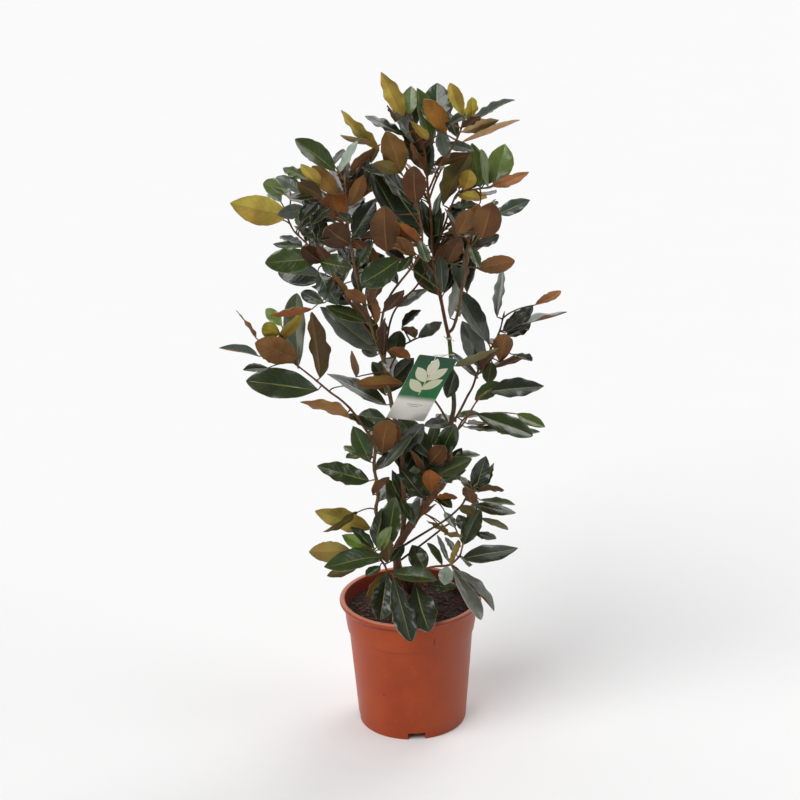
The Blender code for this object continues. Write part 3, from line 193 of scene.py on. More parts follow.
# Each leaf as the photograph shows it: where the blade starts and its tip, across and down in pixels, the
# width seen, and the face seen: U upper, G upper of a young leaf, B brown underside, Y yellow underside.
# A last number, where there is one, is how far the tip lies behind the blade's start, in centimetres.
LEAVES = {
    LEADER: [
        (404, 116, 381, 72, 17, "Y"), (410, 114, 411, 86, 16, "G"), (430, 140, 417, 88, 17, "G"),
        (446, 132, 424, 99, 18, "B", -6), (427, 140, 411, 121, 9, "Y"), (417, 153, 391, 98, 11, "U"),
        (405, 136, 365, 116, 9, "U"), (434, 165, 471, 153, 10, "B"), (425, 470, 417, 430, 22, "U"),
        (430, 464, 445, 446, 18, "B"), (432, 493, 430, 470, 17, "B"), (422, 496, 397, 474, 15, "U"),
        (430, 497, 414, 474, 12, "U"), (421, 514, 395, 502, 8, "U"), (438, 459, 455, 424, 20, "U", -4),
        (430, 445, 441, 414, 11, "U"), (455, 372, 447, 398, 15, "U"), (424, 170, 406, 132, 17, "U"),
        (427, 178, 432, 140, 12, "U"), (454, 457, 480, 455, 8, "U"), (439, 474, 472, 459, 15, "U", -4.5),
        (437, 497, 452, 508, 9, "U"), (414, 143, 394, 106, 9, "U"), (424, 152, 409, 122, 12, "B"),
        (437, 246, 441, 208, 10, "U"), (441, 482, 466, 470, 10, "U", -4), (434, 460, 398, 418, 20, "U"),
        (455, 366, 499, 348, 8, "Y"), (445, 512, 455, 528, 8, "U")],
    "top_right_shoot": [
        (437, 129, 437, 83, 33, "U", 11), (463, 116, 450, 83, 13, "Y"), (471, 120, 472, 97, 11, "Y"),
        (450, 124, 475, 111, 9, "U"), (471, 121, 515, 100, 7, "U"), (462, 132, 499, 120, 11, "B"),
        (462, 142, 520, 120, 6, "B"), (448, 160, 440, 128, 14, "U")],
    "right_side_shoot": [
        (443, 205, 470, 153, 20, "B"), (480, 187, 472, 143, 22, "G"), (494, 185, 505, 144, 25, "G"),
        (491, 186, 529, 172, 11, "B"), (463, 190, 470, 170, 17, "Y"), (458, 195, 487, 198, 11, "Y"),
        (447, 216, 466, 204, 12, "U"), (479, 205, 453, 207, 8, "U"), (471, 231, 478, 204, 13, "B")],
    "right_branch": [
        (498, 214, 530, 200, 14, "U"), (482, 238, 492, 202, 27, "B"), (458, 234, 470, 209, 17, "B"),
        (461, 290, 467, 245, 8, "U"), (450, 318, 457, 268, 10, "U"), (467, 293, 475, 250, 11, "U"),
        (476, 268, 515, 261, 17, "B"), (447, 263, 461, 238, 16, "B"), (473, 248, 499, 235, 10, "U"),
        (487, 211, 496, 201, 8, "U")],
    "right_spray": [
        (497, 317, 503, 268, 10, "U"), (535, 305, 561, 291, 8, "B"), (505, 333, 567, 312, 6, "U"),
        (503, 331, 533, 306, 15, "U"), (506, 337, 531, 322, 12, "U"), (500, 362, 505, 334, 19, "B"),
        (489, 343, 456, 290, 18, "U"), (482, 368, 462, 321, 21, "U"), (494, 368, 530, 356, 6, "B"),
        (492, 362, 488, 383, 14, "U")],
    "right_mid_shoot": [
        (490, 391, 544, 386, 19, "U"), (475, 399, 501, 383, 15, "U")],
    "right_low_spray": [
        (477, 414, 533, 436, 19, "U"), (517, 414, 545, 427, 11, "G"), (502, 434, 540, 432, 8, "G"),
        (465, 427, 497, 431, 5, "U")],
    "middle_leader": [
        (335, 171, 295, 139, 19, "G"), (337, 175, 358, 141, 7, "U"), (346, 178, 346, 157, 8, "U"),
        (350, 171, 375, 147, 9, "B"), (338, 195, 312, 166, 17, "B"), (342, 186, 369, 193, 16, "B"),
        (342, 221, 330, 190, 27, "B"), (350, 244, 326, 227, 27, "B"), (347, 238, 365, 252, 12, "B"),
        (376, 350, 320, 307, 26, "U"), (367, 323, 326, 306, 13, "U"), (353, 238, 375, 200, 22, "U"),
        (354, 240, 378, 262, 13, "B"), (366, 304, 345, 290, 12, "B"), (386, 311, 404, 290, 12, "B"),
        (392, 358, 400, 331, 18, "U"), (365, 272, 384, 255, 12, "U"), (403, 384, 355, 383, 13, "B"),
        (356, 377, 352, 351, 8, "B"), (377, 355, 362, 348, 12, "U"), (386, 405, 327, 374, 15, "U"),
        (385, 395, 380, 361, 18, "U"), (371, 304, 381, 281, 12, "B"), (376, 324, 371, 293, 11, "B"),
        (405, 520, 386, 478, 18, "U")],
    "left_stem": [
        (320, 378, 312, 312, 19, "B"), (298, 368, 297, 293, 19, "U"), (256, 338, 236, 310, 4, "B"),
        (282, 326, 266, 309, 12, "G"), (280, 334, 262, 328, 15, "Y"), (278, 341, 301, 313, 11, "Y"),
        (297, 359, 255, 343, 26, "B"), (258, 356, 219, 348, 7, "U"), (268, 368, 243, 370, 8, "U"),
        (318, 390, 246, 381, 29, "U"), (350, 418, 300, 402, 12, "B"), (376, 432, 340, 415, 9, "U"),
        (370, 462, 353, 426, 19, "U"), (382, 454, 388, 420, 23, "B"), (386, 419, 358, 416, 17, "U"),
        (362, 457, 344, 446, 9, "G"), (369, 481, 317, 466, 20, "U"), (382, 468, 412, 436, 11, "U"),
        (373, 495, 388, 477, 9, "B"), (371, 529, 315, 511, 20, "Y"), (358, 512, 323, 532, 8, "B", -5)],
    "right_thin_stem": [
        (475, 492, 486, 456, 18, "U"), (484, 488, 494, 463, 8, "U"), (472, 503, 466, 487, 12, "B"),
        (480, 500, 515, 505, 6, "U"), (475, 505, 516, 513, 12, "U")],
    "right_thin_shoot": [
        (463, 545, 481, 508, 18, "U"), (474, 516, 463, 505, 12, "B"), (467, 532, 458, 515, 12, "U"),
        (476, 533, 496, 539, 8, "U")],
    "low_right_shoot": [
        (462, 559, 518, 548, 18, "U"), (415, 583, 429, 632, 28, "U", -11), (425, 569, 412, 545, 20, "U"),
        (447, 566, 444, 585, 15, "G"), (452, 567, 481, 620, 12, "G", -6),
        (455, 570, 494, 611, 9, "U", -4), (458, 587, 430, 585, 12, "U")],
    "low_left_shoot": [
        (350, 550, 309, 552, 20, "Y"), (371, 549, 342, 535, 14, "G"), (374, 548, 350, 527, 10, "U"),
        (377, 547, 382, 508, 10, "U"), (386, 548, 395, 497, 21, "U"), (378, 550, 392, 527, 12, "G", -4.5),
        (388, 563, 388, 539, 12, "B"), (384, 557, 324, 567, 19, "U"), (380, 561, 346, 560, 10, "U"),
        (357, 568, 327, 576, 8, "Y"), (380, 566, 366, 576, 9, "U"), (387, 572, 380, 620, 21, "U", -3.5),
        (393, 575, 411, 642, 26, "U", -8), (391, 573, 437, 580, 15, "U"), (401, 578, 409, 595, 9, "B"),
        (388, 572, 368, 600, 7, "Y")],
    "centre_right_branch": [
        (416, 203, 414, 166, 23, "B"), (422, 228, 385, 175, 30, "U"), (421, 245, 397, 222, 12, "B"),
        (387, 252, 384, 206, 28, "B"), (400, 259, 361, 284, 26, "G"), (401, 172, 386, 131, 24, "Y"),
        (400, 173, 375, 163, 13, "B"), (397, 174, 384, 159, 8, "G"), (443, 292, 440, 256, 12, "U"),
        (414, 205, 380, 168, 14, "U"), (396, 215, 371, 172, 18, "U"), (412, 256, 398, 272, 9, "U"),
        (418, 235, 405, 205, 16, "U")],
    "centre_branch": [
        (428, 290, 397, 307, 9, "U"), (438, 295, 418, 255, 24, "U"), (441, 262, 430, 236, 12, "U")],
    "centre_twig": [
        (402, 327, 421, 310, 8, "U"), (415, 338, 403, 327, 10, "B"), (418, 338, 442, 322, 12, "U"),
        (409, 359, 390, 349, 10, "B"), (394, 378, 414, 358, 16, "U")],
    "upper_left_branch": [
        (288, 216, 230, 203, 28, "Y"), (290, 190, 263, 184, 17, "U"), (308, 206, 271, 187, 7, "U"),
        (281, 202, 268, 194, 9, "G"), (306, 208, 277, 215, 14, "U"), (303, 211, 299, 227, 9, "U"),
        (315, 240, 294, 226, 8, "U"), (304, 247, 273, 244, 7, "U"), (322, 262, 302, 247, 16, "B"),
        (318, 259, 265, 263, 24, "G"), (320, 262, 352, 268, 22, "G"), (322, 277, 278, 273, 23, "U"),
        (318, 272, 338, 305, 20, "U"), (324, 303, 301, 293, 13, "U"), (312, 309, 268, 315, 8, "B")],
    "upper_left_twig": [
        (308, 180, 283, 168, 10, "G"), (305, 192, 276, 177, 13, "U"), (320, 184, 301, 164, 12, "Y"),
        (322, 197, 297, 183, 16, "B"), (325, 245, 312, 206, 16, "U"), (322, 216, 303, 193, 15, "U"),
        (332, 228, 318, 240, 12, "U")],
    "upper_twig": [
        (378, 150, 341, 110, 12, "Y"), (378, 146, 340, 135, 6, "B"), (377, 147, 371, 163, 9, "Y"),
        (366, 190, 380, 168, 12, "U"), (366, 171, 350, 182, 9, "B")],
}

# Leaves on the side that the photograph doesn't show, how many on each stem, and how they are drawn
HIDDEN = {
    "seed": 28, "tries": 120, "share": (0.3, 1.0), "turn": (-110, 110), "rise": (5, 60),
    "length": (85 * MM, 112 * MM), "tilt": (-0.5, 0.5), "stalk": 20 * MM,
    "counts": {
        "back_low_shoot": 7, "back_middle_shoot": 7, "back_left_shoot": 8, "back_high_shoot": 8,
        "back_top_shoot": 7, LEADER: 4, "middle_leader": 4, "left_stem": 3,
        "right_branch": 2, "right_side_shoot": 2, "top_right_shoot": 1, "right_spray": 2,
        "centre_right_branch": 2, "upper_left_branch": 3, "upper_left_twig": 1, "low_left_shoot": 1},
}
DRAWN = ("share", "turn", "rise", "length", "tilt")
STALK_OUTWARD = 0.7
STALK_ONWARD = 0.3
MOST_SEEN = 0.06
SIGHT_GAP = 4 * MM
HIDDEN_LOWEST = POT_HEIGHT + 40 * MM

# The label: its corners in the photograph and how far behind the top left corner the others lie
LABEL_CORNER = (419.3, 354.4)
LABEL_RIGHT = (457.6, 359.1)
LABEL_FOOT = (386.8, 417.6)
LABEL_BEHIND = -6.2
LABEL_RIGHT_BACK = 3.3
LABEL_FOOT_BACK = 5.1
LABEL_THICKNESS = 0.8 * MM
LABEL_ROUNDING = 4 * MM
LABEL_HOLE = (0.42, 0.085)
LABEL_HOLE_RADIUS = 3 * MM
LOOP_RADIUS = 0.7 * MM
LOOP_PLACE = (451, 352)
LOOP_GAP = 0.45 * MM
LOOP_STEPS = 4
TIE_DOWN = 335.5
TWINE_RADIUS = 0.75 * MM
TWINE_TURNS = 3.4
TWINE_STEPS = 22
TWINE_HEIGHT = 4.4
# In millimetres from the knot: sideways, down and outward, and for the knot sideways, outward and its radius
TWINE_END = ((0, 0, 0), (2.0, 0.6, 0.9), (4.6, 1.9, 1.6), (7.4, 3.8, 1.4), (9.8, 6.2, 0.8))
KNOT = ((-1.7, 0.0, 0.6), (-1.1, 0.4, 1.3), (0.0, 0.6, 1.6), (1.1, 0.4, 1.3), (1.7, 0.0, 0.6))

# Leaves that only the scene has: small ones, and those deep in the crown
SMALL_LEAVES = {
    LEADER: [
        (395, 122, 388, 106, 6, "B"), (446, 143, 474, 151, 10, "U"), (422, 472, 410, 450, 6, "B"),
        (456, 422, 436, 414, 7, "G"), (432, 174, 443, 166, 4, "G"), (436, 500, 457, 497, 6, "B"),
        (448, 534, 427, 521, 6, "Y"), (445, 533, 463, 537, 5, "Y"), (431, 240, 421, 200, 12, "U"),
        (434, 247, 445, 212, 11, "U"), (437, 266, 453, 242, 11, "B"), (427, 172, 411, 142, 9, "B"),
        (425, 156, 436, 126, 9, "U"), (420, 150, 400, 128, 10, "U"), (450, 424, 424, 426, 11, "U"),
        (412, 524, 420, 500, 8, "U"), (446, 470, 462, 448, 11, "U"), (432, 232, 441, 192, 9, "U")],
    "top_right_shoot": [
        (457, 137, 448, 112, 12, "U"), (461, 128, 480, 116, 7, "B")],
    "right_side_shoot": [
        (488, 187, 481, 149, 8, "U"), (481, 196, 496, 190, 6, "U"), (453, 206, 463, 216, 9, "B"),
        (470, 190, 462, 214, 10, "B")],
    "right_branch": [
        (457, 236, 475, 234, 5, "U"), (470, 246, 480, 268, 9, "U"), (462, 292, 452, 262, 9, "U"),
        (460, 316, 452, 296, 8, "U")],
    "right_spray": [
        (489, 343, 501, 340, 7, "U"), (511, 354, 532, 361, 5, "U"), (478, 378, 450, 351, 7, "U"),
        (484, 372, 474, 344, 10, "U"), (481, 370, 496, 352, 9, "B")],
    "right_mid_shoot": [
        (468, 424, 488, 424, 4, "U")],
    "right_low_spray": [
        (456, 417, 480, 414, 7, "G"), (456, 432, 446, 456, 10, "U")],
    "middle_leader": [
        (334, 165, 343, 149, 7, "U"), (349, 206, 364, 175, 14, "B"), (350, 262, 339, 242, 10, "U"),
        (355, 268, 372, 240, 13, "U"), (348, 192, 337, 166, 9, "U"), (379, 350, 371, 318, 10, "B"),
        (383, 356, 385, 318, 11, "B"), (368, 322, 352, 298, 9, "B"), (388, 384, 372, 362, 13, "U"),
        (390, 392, 410, 372, 11, "U"), (402, 470, 392, 440, 11, "U"), (403, 500, 392, 470, 9, "U"),
        (399, 468, 425, 499, 15, "U", -3), (402, 452, 424, 424, 18, "U", -3),
        (401, 500, 415, 528, 10, "U", -3)],
    "left_stem": [
        (346, 415, 327, 411, 5, "U"), (363, 456, 346, 458, 6, "G"), (372, 446, 384, 424, 10, "U"),
        (376, 470, 392, 452, 9, "U"), (380, 528, 392, 500, 11, "U")],
    "right_thin_stem": [
        (466, 483, 456, 475, 6, "U"), (478, 492, 504, 490, 6, "B"), (473, 497, 462, 478, 8, "U")],
    "right_thin_shoot": [
        (482, 518, 508, 530, 7, "Y"), (468, 520, 478, 500, 8, "U")],
    "low_right_shoot": [
        (463, 558, 469, 567, 4, "U"), (442, 565, 427, 543, 7, "U"), (450, 563, 437, 535, 5, "U"),
        (457, 556, 445, 537, 5, "U"), (467, 582, 480, 597, 7, "U", -3), (452, 566, 458, 540, 6, "Y")],
    "low_left_shoot": [
        (376, 556, 352, 547, 12, "U"), (382, 552, 372, 526, 10, "U"), (390, 562, 404, 545, 10, "U")],
    "centre_right_branch": [
        (412, 257, 397, 237, 11, "B"), (406, 263, 386, 250, 9, "U"), (397, 284, 384, 262, 10, "U"),
        (420, 240, 428, 262, 10, "U")],
    "centre_twig": [
        (395, 358, 384, 336, 9, "U")],
    "upper_left_branch": [
        (302, 248, 281, 236, 7, "U"), (330, 270, 317, 244, 12, "B"), (336, 276, 328, 296, 10, "U"),
        (346, 294, 334, 274, 8, "B"), (306, 242, 316, 222, 9, "U")],
    "upper_left_twig": [
        (318, 202, 300, 222, 12, "U"), (314, 196, 289, 198, 8, "U"), (336, 214, 352, 224, 9, "U"),
        (330, 208, 312, 224, 10, "U")],
    "upper_twig": [
        (368, 158, 360, 192, 12, "U"), (362, 166, 384, 176, 10, "U")],
}

# Leaves deep in the crown, in the scene alone: how many each stem bears, and how they are drawn
DEEP = {
    "seed": 53, "tries": 160, "share": (0.12, 1.0), "turn": (-180, 180), "rise": (-5, 68),
    "length": (68 * MM, 112 * MM), "tilt": (-1.3, 1.3), "stalk": 16 * MM,
    "counts": {
        LEADER: 26, "middle_leader": 26, "centre_right_branch": 9, "right_branch": 9,
        "upper_left_branch": 9, "upper_left_twig": 8, "upper_twig": 6, "right_side_shoot": 8,
        "top_right_shoot": 5, "back_high_shoot": 6, "back_left_shoot": 6, "back_top_shoot": 5,
        "back_middle_shoot": 6, "back_low_shoot": 5, "left_stem": 8, "centre_branch": 5, "right_spray": 5},
}
DEEP_ASPECT = (0.36, 0.46)
MOST_COVERED = 0.04
COVER_GAP = 3
# The parts of the crown that the photograph shows closed, by their corners in its pixels
DENSE_PARTS = (
    ((276, 188), (300, 168), (318, 160), (345, 168), (370, 166), (374, 150), (388, 138), (406, 160),
     (426, 186), (432, 240), (438, 288), (425, 288), (412, 264), (405, 252), (397, 264), (390, 284),
     (380, 292), (364, 302), (348, 292), (336, 272), (328, 262), (300, 246), (296, 215), (276, 206)),
    ((386, 102), (405, 90), (435, 85), (452, 100), (470, 112), (456, 134), (440, 142), (432, 166),
     (412, 160), (400, 140), (390, 125)),
    ((440, 206), (455, 193), (470, 156), (482, 148), (505, 150), (500, 190), (502, 230), (495, 242),
     (478, 252), (476, 290), (455, 302), (440, 290), (438, 250)),
    ((358, 402), (390, 418), (425, 422), (456, 412), (458, 456), (444, 500), (425, 520), (410, 526),
     (404, 500), (386, 512), (372, 498), (378, 480), (394, 470), (410, 470), (400, 456), (378, 456),
     (364, 430)),
    ((458, 300), (478, 308), (490, 344), (502, 338), (508, 360), (492, 386), (478, 382), (464, 340)),
    ((300, 292), (322, 272), (345, 300), (370, 318), (388, 345), (400, 332), (404, 360), (410, 380),
     (370, 386), (362, 366), (350, 346), (325, 336), (316, 315)),
)


def sight(across, down, behind):
    """The point seen at a pixel of the photograph, so many metres behind the pot's axis."""
    right = across - PICTURE_MIDDLE
    up = PICTURE_MIDDLE - down
    level_right = (right * math.cos(ROLL) - up * math.sin(ROLL)) / FOCAL_PIXELS
    level_up = (right * math.sin(ROLL) + up * math.cos(ROLL)) / FOCAL_PIXELS
    direction = Vector((level_right,
                        math.cos(PITCH_DOWN) + level_up * math.sin(PITCH_DOWN),
                        -math.sin(PITCH_DOWN) + level_up * math.cos(PITCH_DOWN)))
    return EYE + direction * ((behind - EYE.y) / direction.y)


def pixel_of(point):
    """Where the photograph shows a point: across and down in pixels."""
    reach = point - EYE
    forward = reach.y * math.cos(PITCH_DOWN) - reach.z * math.sin(PITCH_DOWN)
    level_right = reach.x / forward * FOCAL_PIXELS
    level_up = (reach.y * math.sin(PITCH_DOWN) + reach.z * math.cos(PITCH_DOWN)) / forward * FOCAL_PIXELS
    right = level_right * math.cos(ROLL) + level_up * math.sin(ROLL)
    up = level_up * math.cos(ROLL) - level_right * math.sin(ROLL)
    return PICTURE_MIDDLE + right, PICTURE_MIDDLE - up


def in_dense_part(point):
    """Whether the photograph shows the point where the crown is closed."""
    across, down = pixel_of(point)
    for part in DENSE_PARTS:
        inside = False
        for (x0, y0), (x1, y1) in zip(part, part[1:] + part[:1]):
            if (y0 > down) != (y1 > down) and across < x0 + (down - y0) * (x1 - x0) / (y1 - y0):
                inside = not inside
        if inside:
            return True
    return False


def curve_point(before, start, stop, after, t):
    """A point on a smooth curve between two of its given points, 0 at the first and 1 at the second."""
    return 0.5 * (2 * start + (stop - before) * t + (2 * before - 5 * start + 4 * stop - after) * t * t
                  + (3 * start - before - 3 * stop + after) * t ** 3)


def smooth_line(points, spacing):
    """Points along a smooth curve through the given ones, about one spacing apart."""
    ends = [points[0] * 2 - points[1]] + list(points) + [points[-1] * 2 - points[-2]]
    line = []
    for before, start, stop, after in zip(ends, ends[1:], ends[2:], ends[3:]):
        count = max(1, round((stop - start).length / spacing))
        line += [curve_point(before, start, stop, after, step / count) for step in range(count)]
    return line + [points[-1].copy()]


def spread(values, share):
    """The value so far along a list that is read as evenly spaced."""
    place = share * (len(values) - 1)
    low = min(int(place), len(values) - 2)
    return values[low] + (values[low + 1] - values[low]) * (place - low)


def stem_line(name, spacing):
    """Points along a stem's centre line, the lengths up to them and the radii there."""
    widths, path = STEMS[name]
    points = smooth_line([sight(across, down, behind * CM) for across, down, behind in path], spacing)
    lengths = [0.0]
    for start, stop in zip(points, points[1:]):
        lengths.append(lengths[-1] + (stop - start).length)
    radii = [spread(widths, length / lengths[-1]) / 2 * MM for length in lengths]
    return points, lengths, radii


class Stem:
    """A stem's centre line and its radius along it, in the solids' long steps."""

    def __init__(self, name):
        self.points, lengths, self.radii = stem_line(name, STEM_SPACING)
        self.shares = [length / lengths[-1] for length in lengths]

    def at(self, share):
        """The point, direction and radius so far along the stem."""
        share = min(max(share, 0.0), 1.0)
        for index in range(len(self.shares) - 1):
            if share <= self.shares[index + 1] or index == len(self.shares) - 2:
                break
        start, stop = self.points[index], self.points[index + 1]
        t = (share - self.shares[index]) / (self.shares[index + 1] - self.shares[index])
        radius = self.radii[index] + (self.radii[index + 1] - self.radii[index]) * t
        return start.lerp(stop, t), (stop - start).normalized(), radius

    def nearest(self, point):
        """The share along the stem that the camera sees nearest to a point."""
        line = (point - EYE).normalized()
        best, best_gap = 1.0, math.inf
        for step in range(NEAREST_STEPS + 1):
            toward = self.at(step / NEAREST_STEPS)[0] - EYE
            gap = (toward - line * toward.dot(line)).length
            if gap < best_gap - NEAREST_GAIN:
                best, best_gap = step / NEAREST_STEPS, gap
        return best


class Leaf:
    """A leaf's shape: its stalk from the stem, its midrib and the way its upper face looks."""

    def __init__(self, root, base, tip, up, width, stalk_way):
        self.root, self.base, self.tip = root, base, tip
        rib = tip - base
        self.length = rib.length
        self.way = rib.normalized()
        self.up = (up - self.way * up.dot(self.way)).normalized()
        self.side = self.way.cross(self.up)
        self.width = width
        self.stalk_way = stalk_way
        self.row = None
        self.stations = BLADE_STATIONS if self.length > SHORT_BLADE else SHORT_BLADE_STATIONS

    def rib(self, t):
        """A point on the midrib, 0 at the blade's start and 1 at the tip."""
        return self.base.lerp(self.tip, t) + self.up * (LEAF_BOW * self.length * 4 * t * (1 - t))

    def rib_way(self, t):
        """The midrib's direction there."""
        return (self.way + self.up * (LEAF_BOW * 4 * (1 - 2 * t))).normalized()

    def stalk(self, t):
        """A point on the stalk, 0 in the stem and 1 at the blade's start."""
        reach = (self.base - self.root).length
        bend = self.base - self.rib_way(0) * (reach * 0.5)
        knee = (bend + self.root + self.stalk_way * (reach * 0.5)) / 2
        return self.root * (1 - t) ** 2 + knee * (2 * t * (1 - t)) + self.base * t ** 2

    def half_width(self, t):
        """Half the blade's width there."""
        shape = math.sin(math.pi * t ** WIDEST_PLACE) ** BLUNTNESS
        return max(self.width / 2 * shape, STALK_HALF_WIDTH * (1 - t))

    def section(self, middle, way, half, thickness):
        """Six corners of a cut across the blade: left, middle and right above, then right to left below."""
        up = (self.up - way * self.up.dot(way)).normalized()
        side = way.cross(up)
        lift = up * (half * LEAF_FOLD)
        half_up = up * (thickness / 2)
        left, right = middle - side * half + lift, middle + side * half + lift
        return [left + half_up, middle + half_up, right + half_up,
                right - half_up, middle - half_up, left - half_up]

    def stalk_section(self, middle, way, grow):
        """Three corners of a cut across the stalk: left, right and below."""
        up = (self.up - way * self.up.dot(way)).normalized()
        side = way.cross(up)
        half, deep = STALK_HALF_WIDTH + grow, STALK_THICKNESS / 2 + grow
        return [middle - side * half + up * deep, middle + side * half + up * deep, middle - up * deep]

    def mesh(self, grow=0.0, stalk=True):
        """Corners and triangles of the closed leaf, grown all over where asked, or of its blade alone."""
        thick = BLADE_THICKNESS + 2 * grow
        cuts = [self.section(self.rib(t), self.rib_way(t), self.half_width(t) * WIDEST_SHARE + grow, thick)
                for t in self.stations]
        corners, triangles = [], []
        if stalk:
            root_way = (self.stalk(0.1) - self.root).normalized()
            corners += self.stalk_section(self.root, root_way, grow)
            corners += self.stalk_section(self.base, self.rib_way(0), grow)
            triangles += [(0, 2, 1)]
            for a, b in ((0, 1), (1, 2), (2, 0)):
                triangles += [(a, b, b + 3), (a, b + 3, a + 3)]
            triangles += [(3, 4, 7), (3, 7, 6), (4, 8, 7), (4, 9, 8), (4, 5, 10), (4, 10, 9),
                          (5, 3, 11), (5, 11, 10), (3, 6, 11)]
        first = len(corners)
        if not stalk:
            triangles += [(5, 4, 1), (5, 1, 0), (4, 3, 2), (4, 2, 1)]
        corners += [corner for ring in cuts for corner in ring]
        for index in range(len(cuts) - 1):
            low, high = first + index * 6, first + index * 6 + 6
            for a, b in ((0, 1), (1, 2), (2, 3), (5, 0)):
                triangles += [(low + a, low + b, high + b), (low + a, high + b, high + a)]
            for a, b in ((3, 4), (4, 5)):
                triangles += [(low + a, low + b, high + a), (low + b, high + b, high + a)]
        end = len(corners)
        last = end - 6
        point_up = self.up * (thick / 2)
        corners += [self.tip + point_up, self.tip - point_up]
        triangles += [(last, last + 1, end), (last + 1, last + 2, end), (last + 2, last + 3, end + 1),
                      (last + 2, end + 1, end), (last + 3, last + 4, end + 1), (last + 4, last + 5, end + 1),
                      (last + 5, last, end), (last + 5, end, end + 1)]
        return corners, triangles


class Obstacle:
    """A closed mesh that other pieces stay clear of."""

    def __init__(self, node, corners, triangles):
        self.node = node
        self.tree = BVHTree.FromPolygons(corners, triangles)
        self.low = Vector([min(corner[axis] for corner in corners) for axis in range(3)])
        self.high = Vector([max(corner[axis] for corner in corners) for axis in range(3)])

    def near(self, other):
        """Whether the two boxes touch."""
        return all(self.low[axis] <= other.high[axis] and other.low[axis] <= self.high[axis]
                   for axis in range(3))


def mesh_of(thing):
    """The corners and triangles of an evaluated object, in world places."""
    graph = bpy.context.evaluated_depsgraph_get()
    evaluated = thing.evaluated_get(graph)
    mesh = evaluated.to_mesh()
    mesh.calc_loop_triangles()
    corners = [thing.matrix_world @ vertex.co for vertex in mesh.vertices]
    triangles = [tuple(triangle.vertices) for triangle in mesh.loop_triangles]
    evaluated.to_mesh_clear()
    return corners, triangles


def leaf_from_picture(stem, row, shift, roll_change, base_shift, root_shift):
    """A leaf from its row in the table, with its tip moved along the line of sight."""
    base_across, base_down, tip_across, tip_down, seen_width, face = row[:6]
    under = face in "BY"
    root, stem_way, _ = stem.at(stem.nearest(sight(base_across, base_down, 0)) + root_shift)
    scale = (root - EYE).length / FOCAL_PIXELS
    seen_length = math.hypot(tip_across - base_across, tip_down - base_down) * scale
    length = max(seen_length * SEEN_SPARE, seen_width * scale / SEEN_ASPECT, SHORTEST_LEAF)
    depth = min(math.sqrt(max(length ** 2 - seen_length ** 2, 0)) * LEAN_SHARE, DEEPEST_LEAN)
    rises = tip_down < base_down + LEVEL_TIP
    away = 1 if rises != under else -1
    lean = row[6] * CM if len(row) > 6 else depth * away
    lean += shift
    base_lean = max(-BASE_LEAN_LIMIT, min(BASE_LEAN_LIMIT, lean * BASE_LEAN_SHARE)) + base_shift
    base = sight(base_across, base_down, root.y + base_lean)
    tip = sight(tip_across, tip_down, base.y + lean)
    way = (tip - base).normalized()
    width = max(LEAF_ASPECT * min((tip - base).length, length * 1.1), seen_width * scale)
    toward = (EYE - base).normalized()
    facing = (toward - way * toward.dot(way)).normalized()
    edge = way.cross(facing)
    turn = math.acos(min(1.0, seen_width * scale / width)) + roll_change
    turn = min(max(turn, 0.0), STEEPEST_TURN)
    options = [facing * ((-1 if under else 1) * math.cos(turn)) + edge * (sign * math.sin(turn))
               for sign in (1, -1)]
    up = max(options, key=lambda option: option.z)
    leaf = Leaf(root, base, tip, up, width, stem_way)
    leaf.row = row
    return leaf


def tries():
    """The shifts of the tip, turns and shifts of the blade's start to try, the smallest first."""
    tips = [0.0]
    for step in TIP_SHIFTS:
        tips += [step * MM, -step * MM]
    for root_shift in ROOT_SHIFTS:
        for base_shift in BASE_SHIFTS:
            for roll_change in ROLL_CHANGES:
                for tip_shift in tips:
                    yield tip_shift, roll_change, base_shift * MM, root_shift


def blade_points(leaf, rows):
    """Points spread over a blade, up to its tip."""
    return [leaf.rib(step / rows) + leaf.side * (leaf.half_width(step / rows) * side)
            for step in range(1, rows + 1) for side in (-1, -0.5, 0, 0.5, 1)]


def seen_share(leaf, tree):
    """How much of a leaf the camera would see past the leaves in front."""
    rays = [point - EYE for point in blade_points(leaf, 10)]
    seen = [tree.ray_cast(EYE, ray.normalized(), ray.length - SIGHT_GAP)[0] is None for ray in rays]
    return sum(seen) / len(seen)


def covered_share(leaf, tree):
    """How much of a leaf has one of the others straight behind it, as the camera sees it."""
    covered = []
    for point in blade_points(leaf, 9):
        onward = (point - EYE).normalized()
        covered.append(tree.ray_cast(point + onward * COVER_GAP * MM, onward)[0] is not None)
    return sum(covered) / len(covered)


def hidden_leaf(draw, root, base, way, up, length, stem_way, tree):
    """A leaf on the far side, where those in front cover it."""
    if root.z < HIDDEN_LOWEST:
        return None
    leaf = Leaf(root, base, base + way * length, up, length * LEAF_ASPECT, stem_way)
    return None if seen_share(leaf, tree) > MOST_SEEN else leaf


def deep_leaf(draw, root, base, way, up, length, stem_way, tree):
    """A leaf inside the crown's closed parts, and not before the others."""
    if not all(in_dense_part(base + way * (length * step / 3)) for step in range(4)):
        return None
    leaf = Leaf(root, base, base + way * length, up, length * draw.uniform(*DEEP_ASPECT), stem_way)
    if not all(in_dense_part(leaf.rib(0.5) + leaf.side * (leaf.half_width(0.5) * side)) for side in (-1, 1)):
        return None
    return None if covered_share(leaf, tree) > MOST_COVERED else leaf


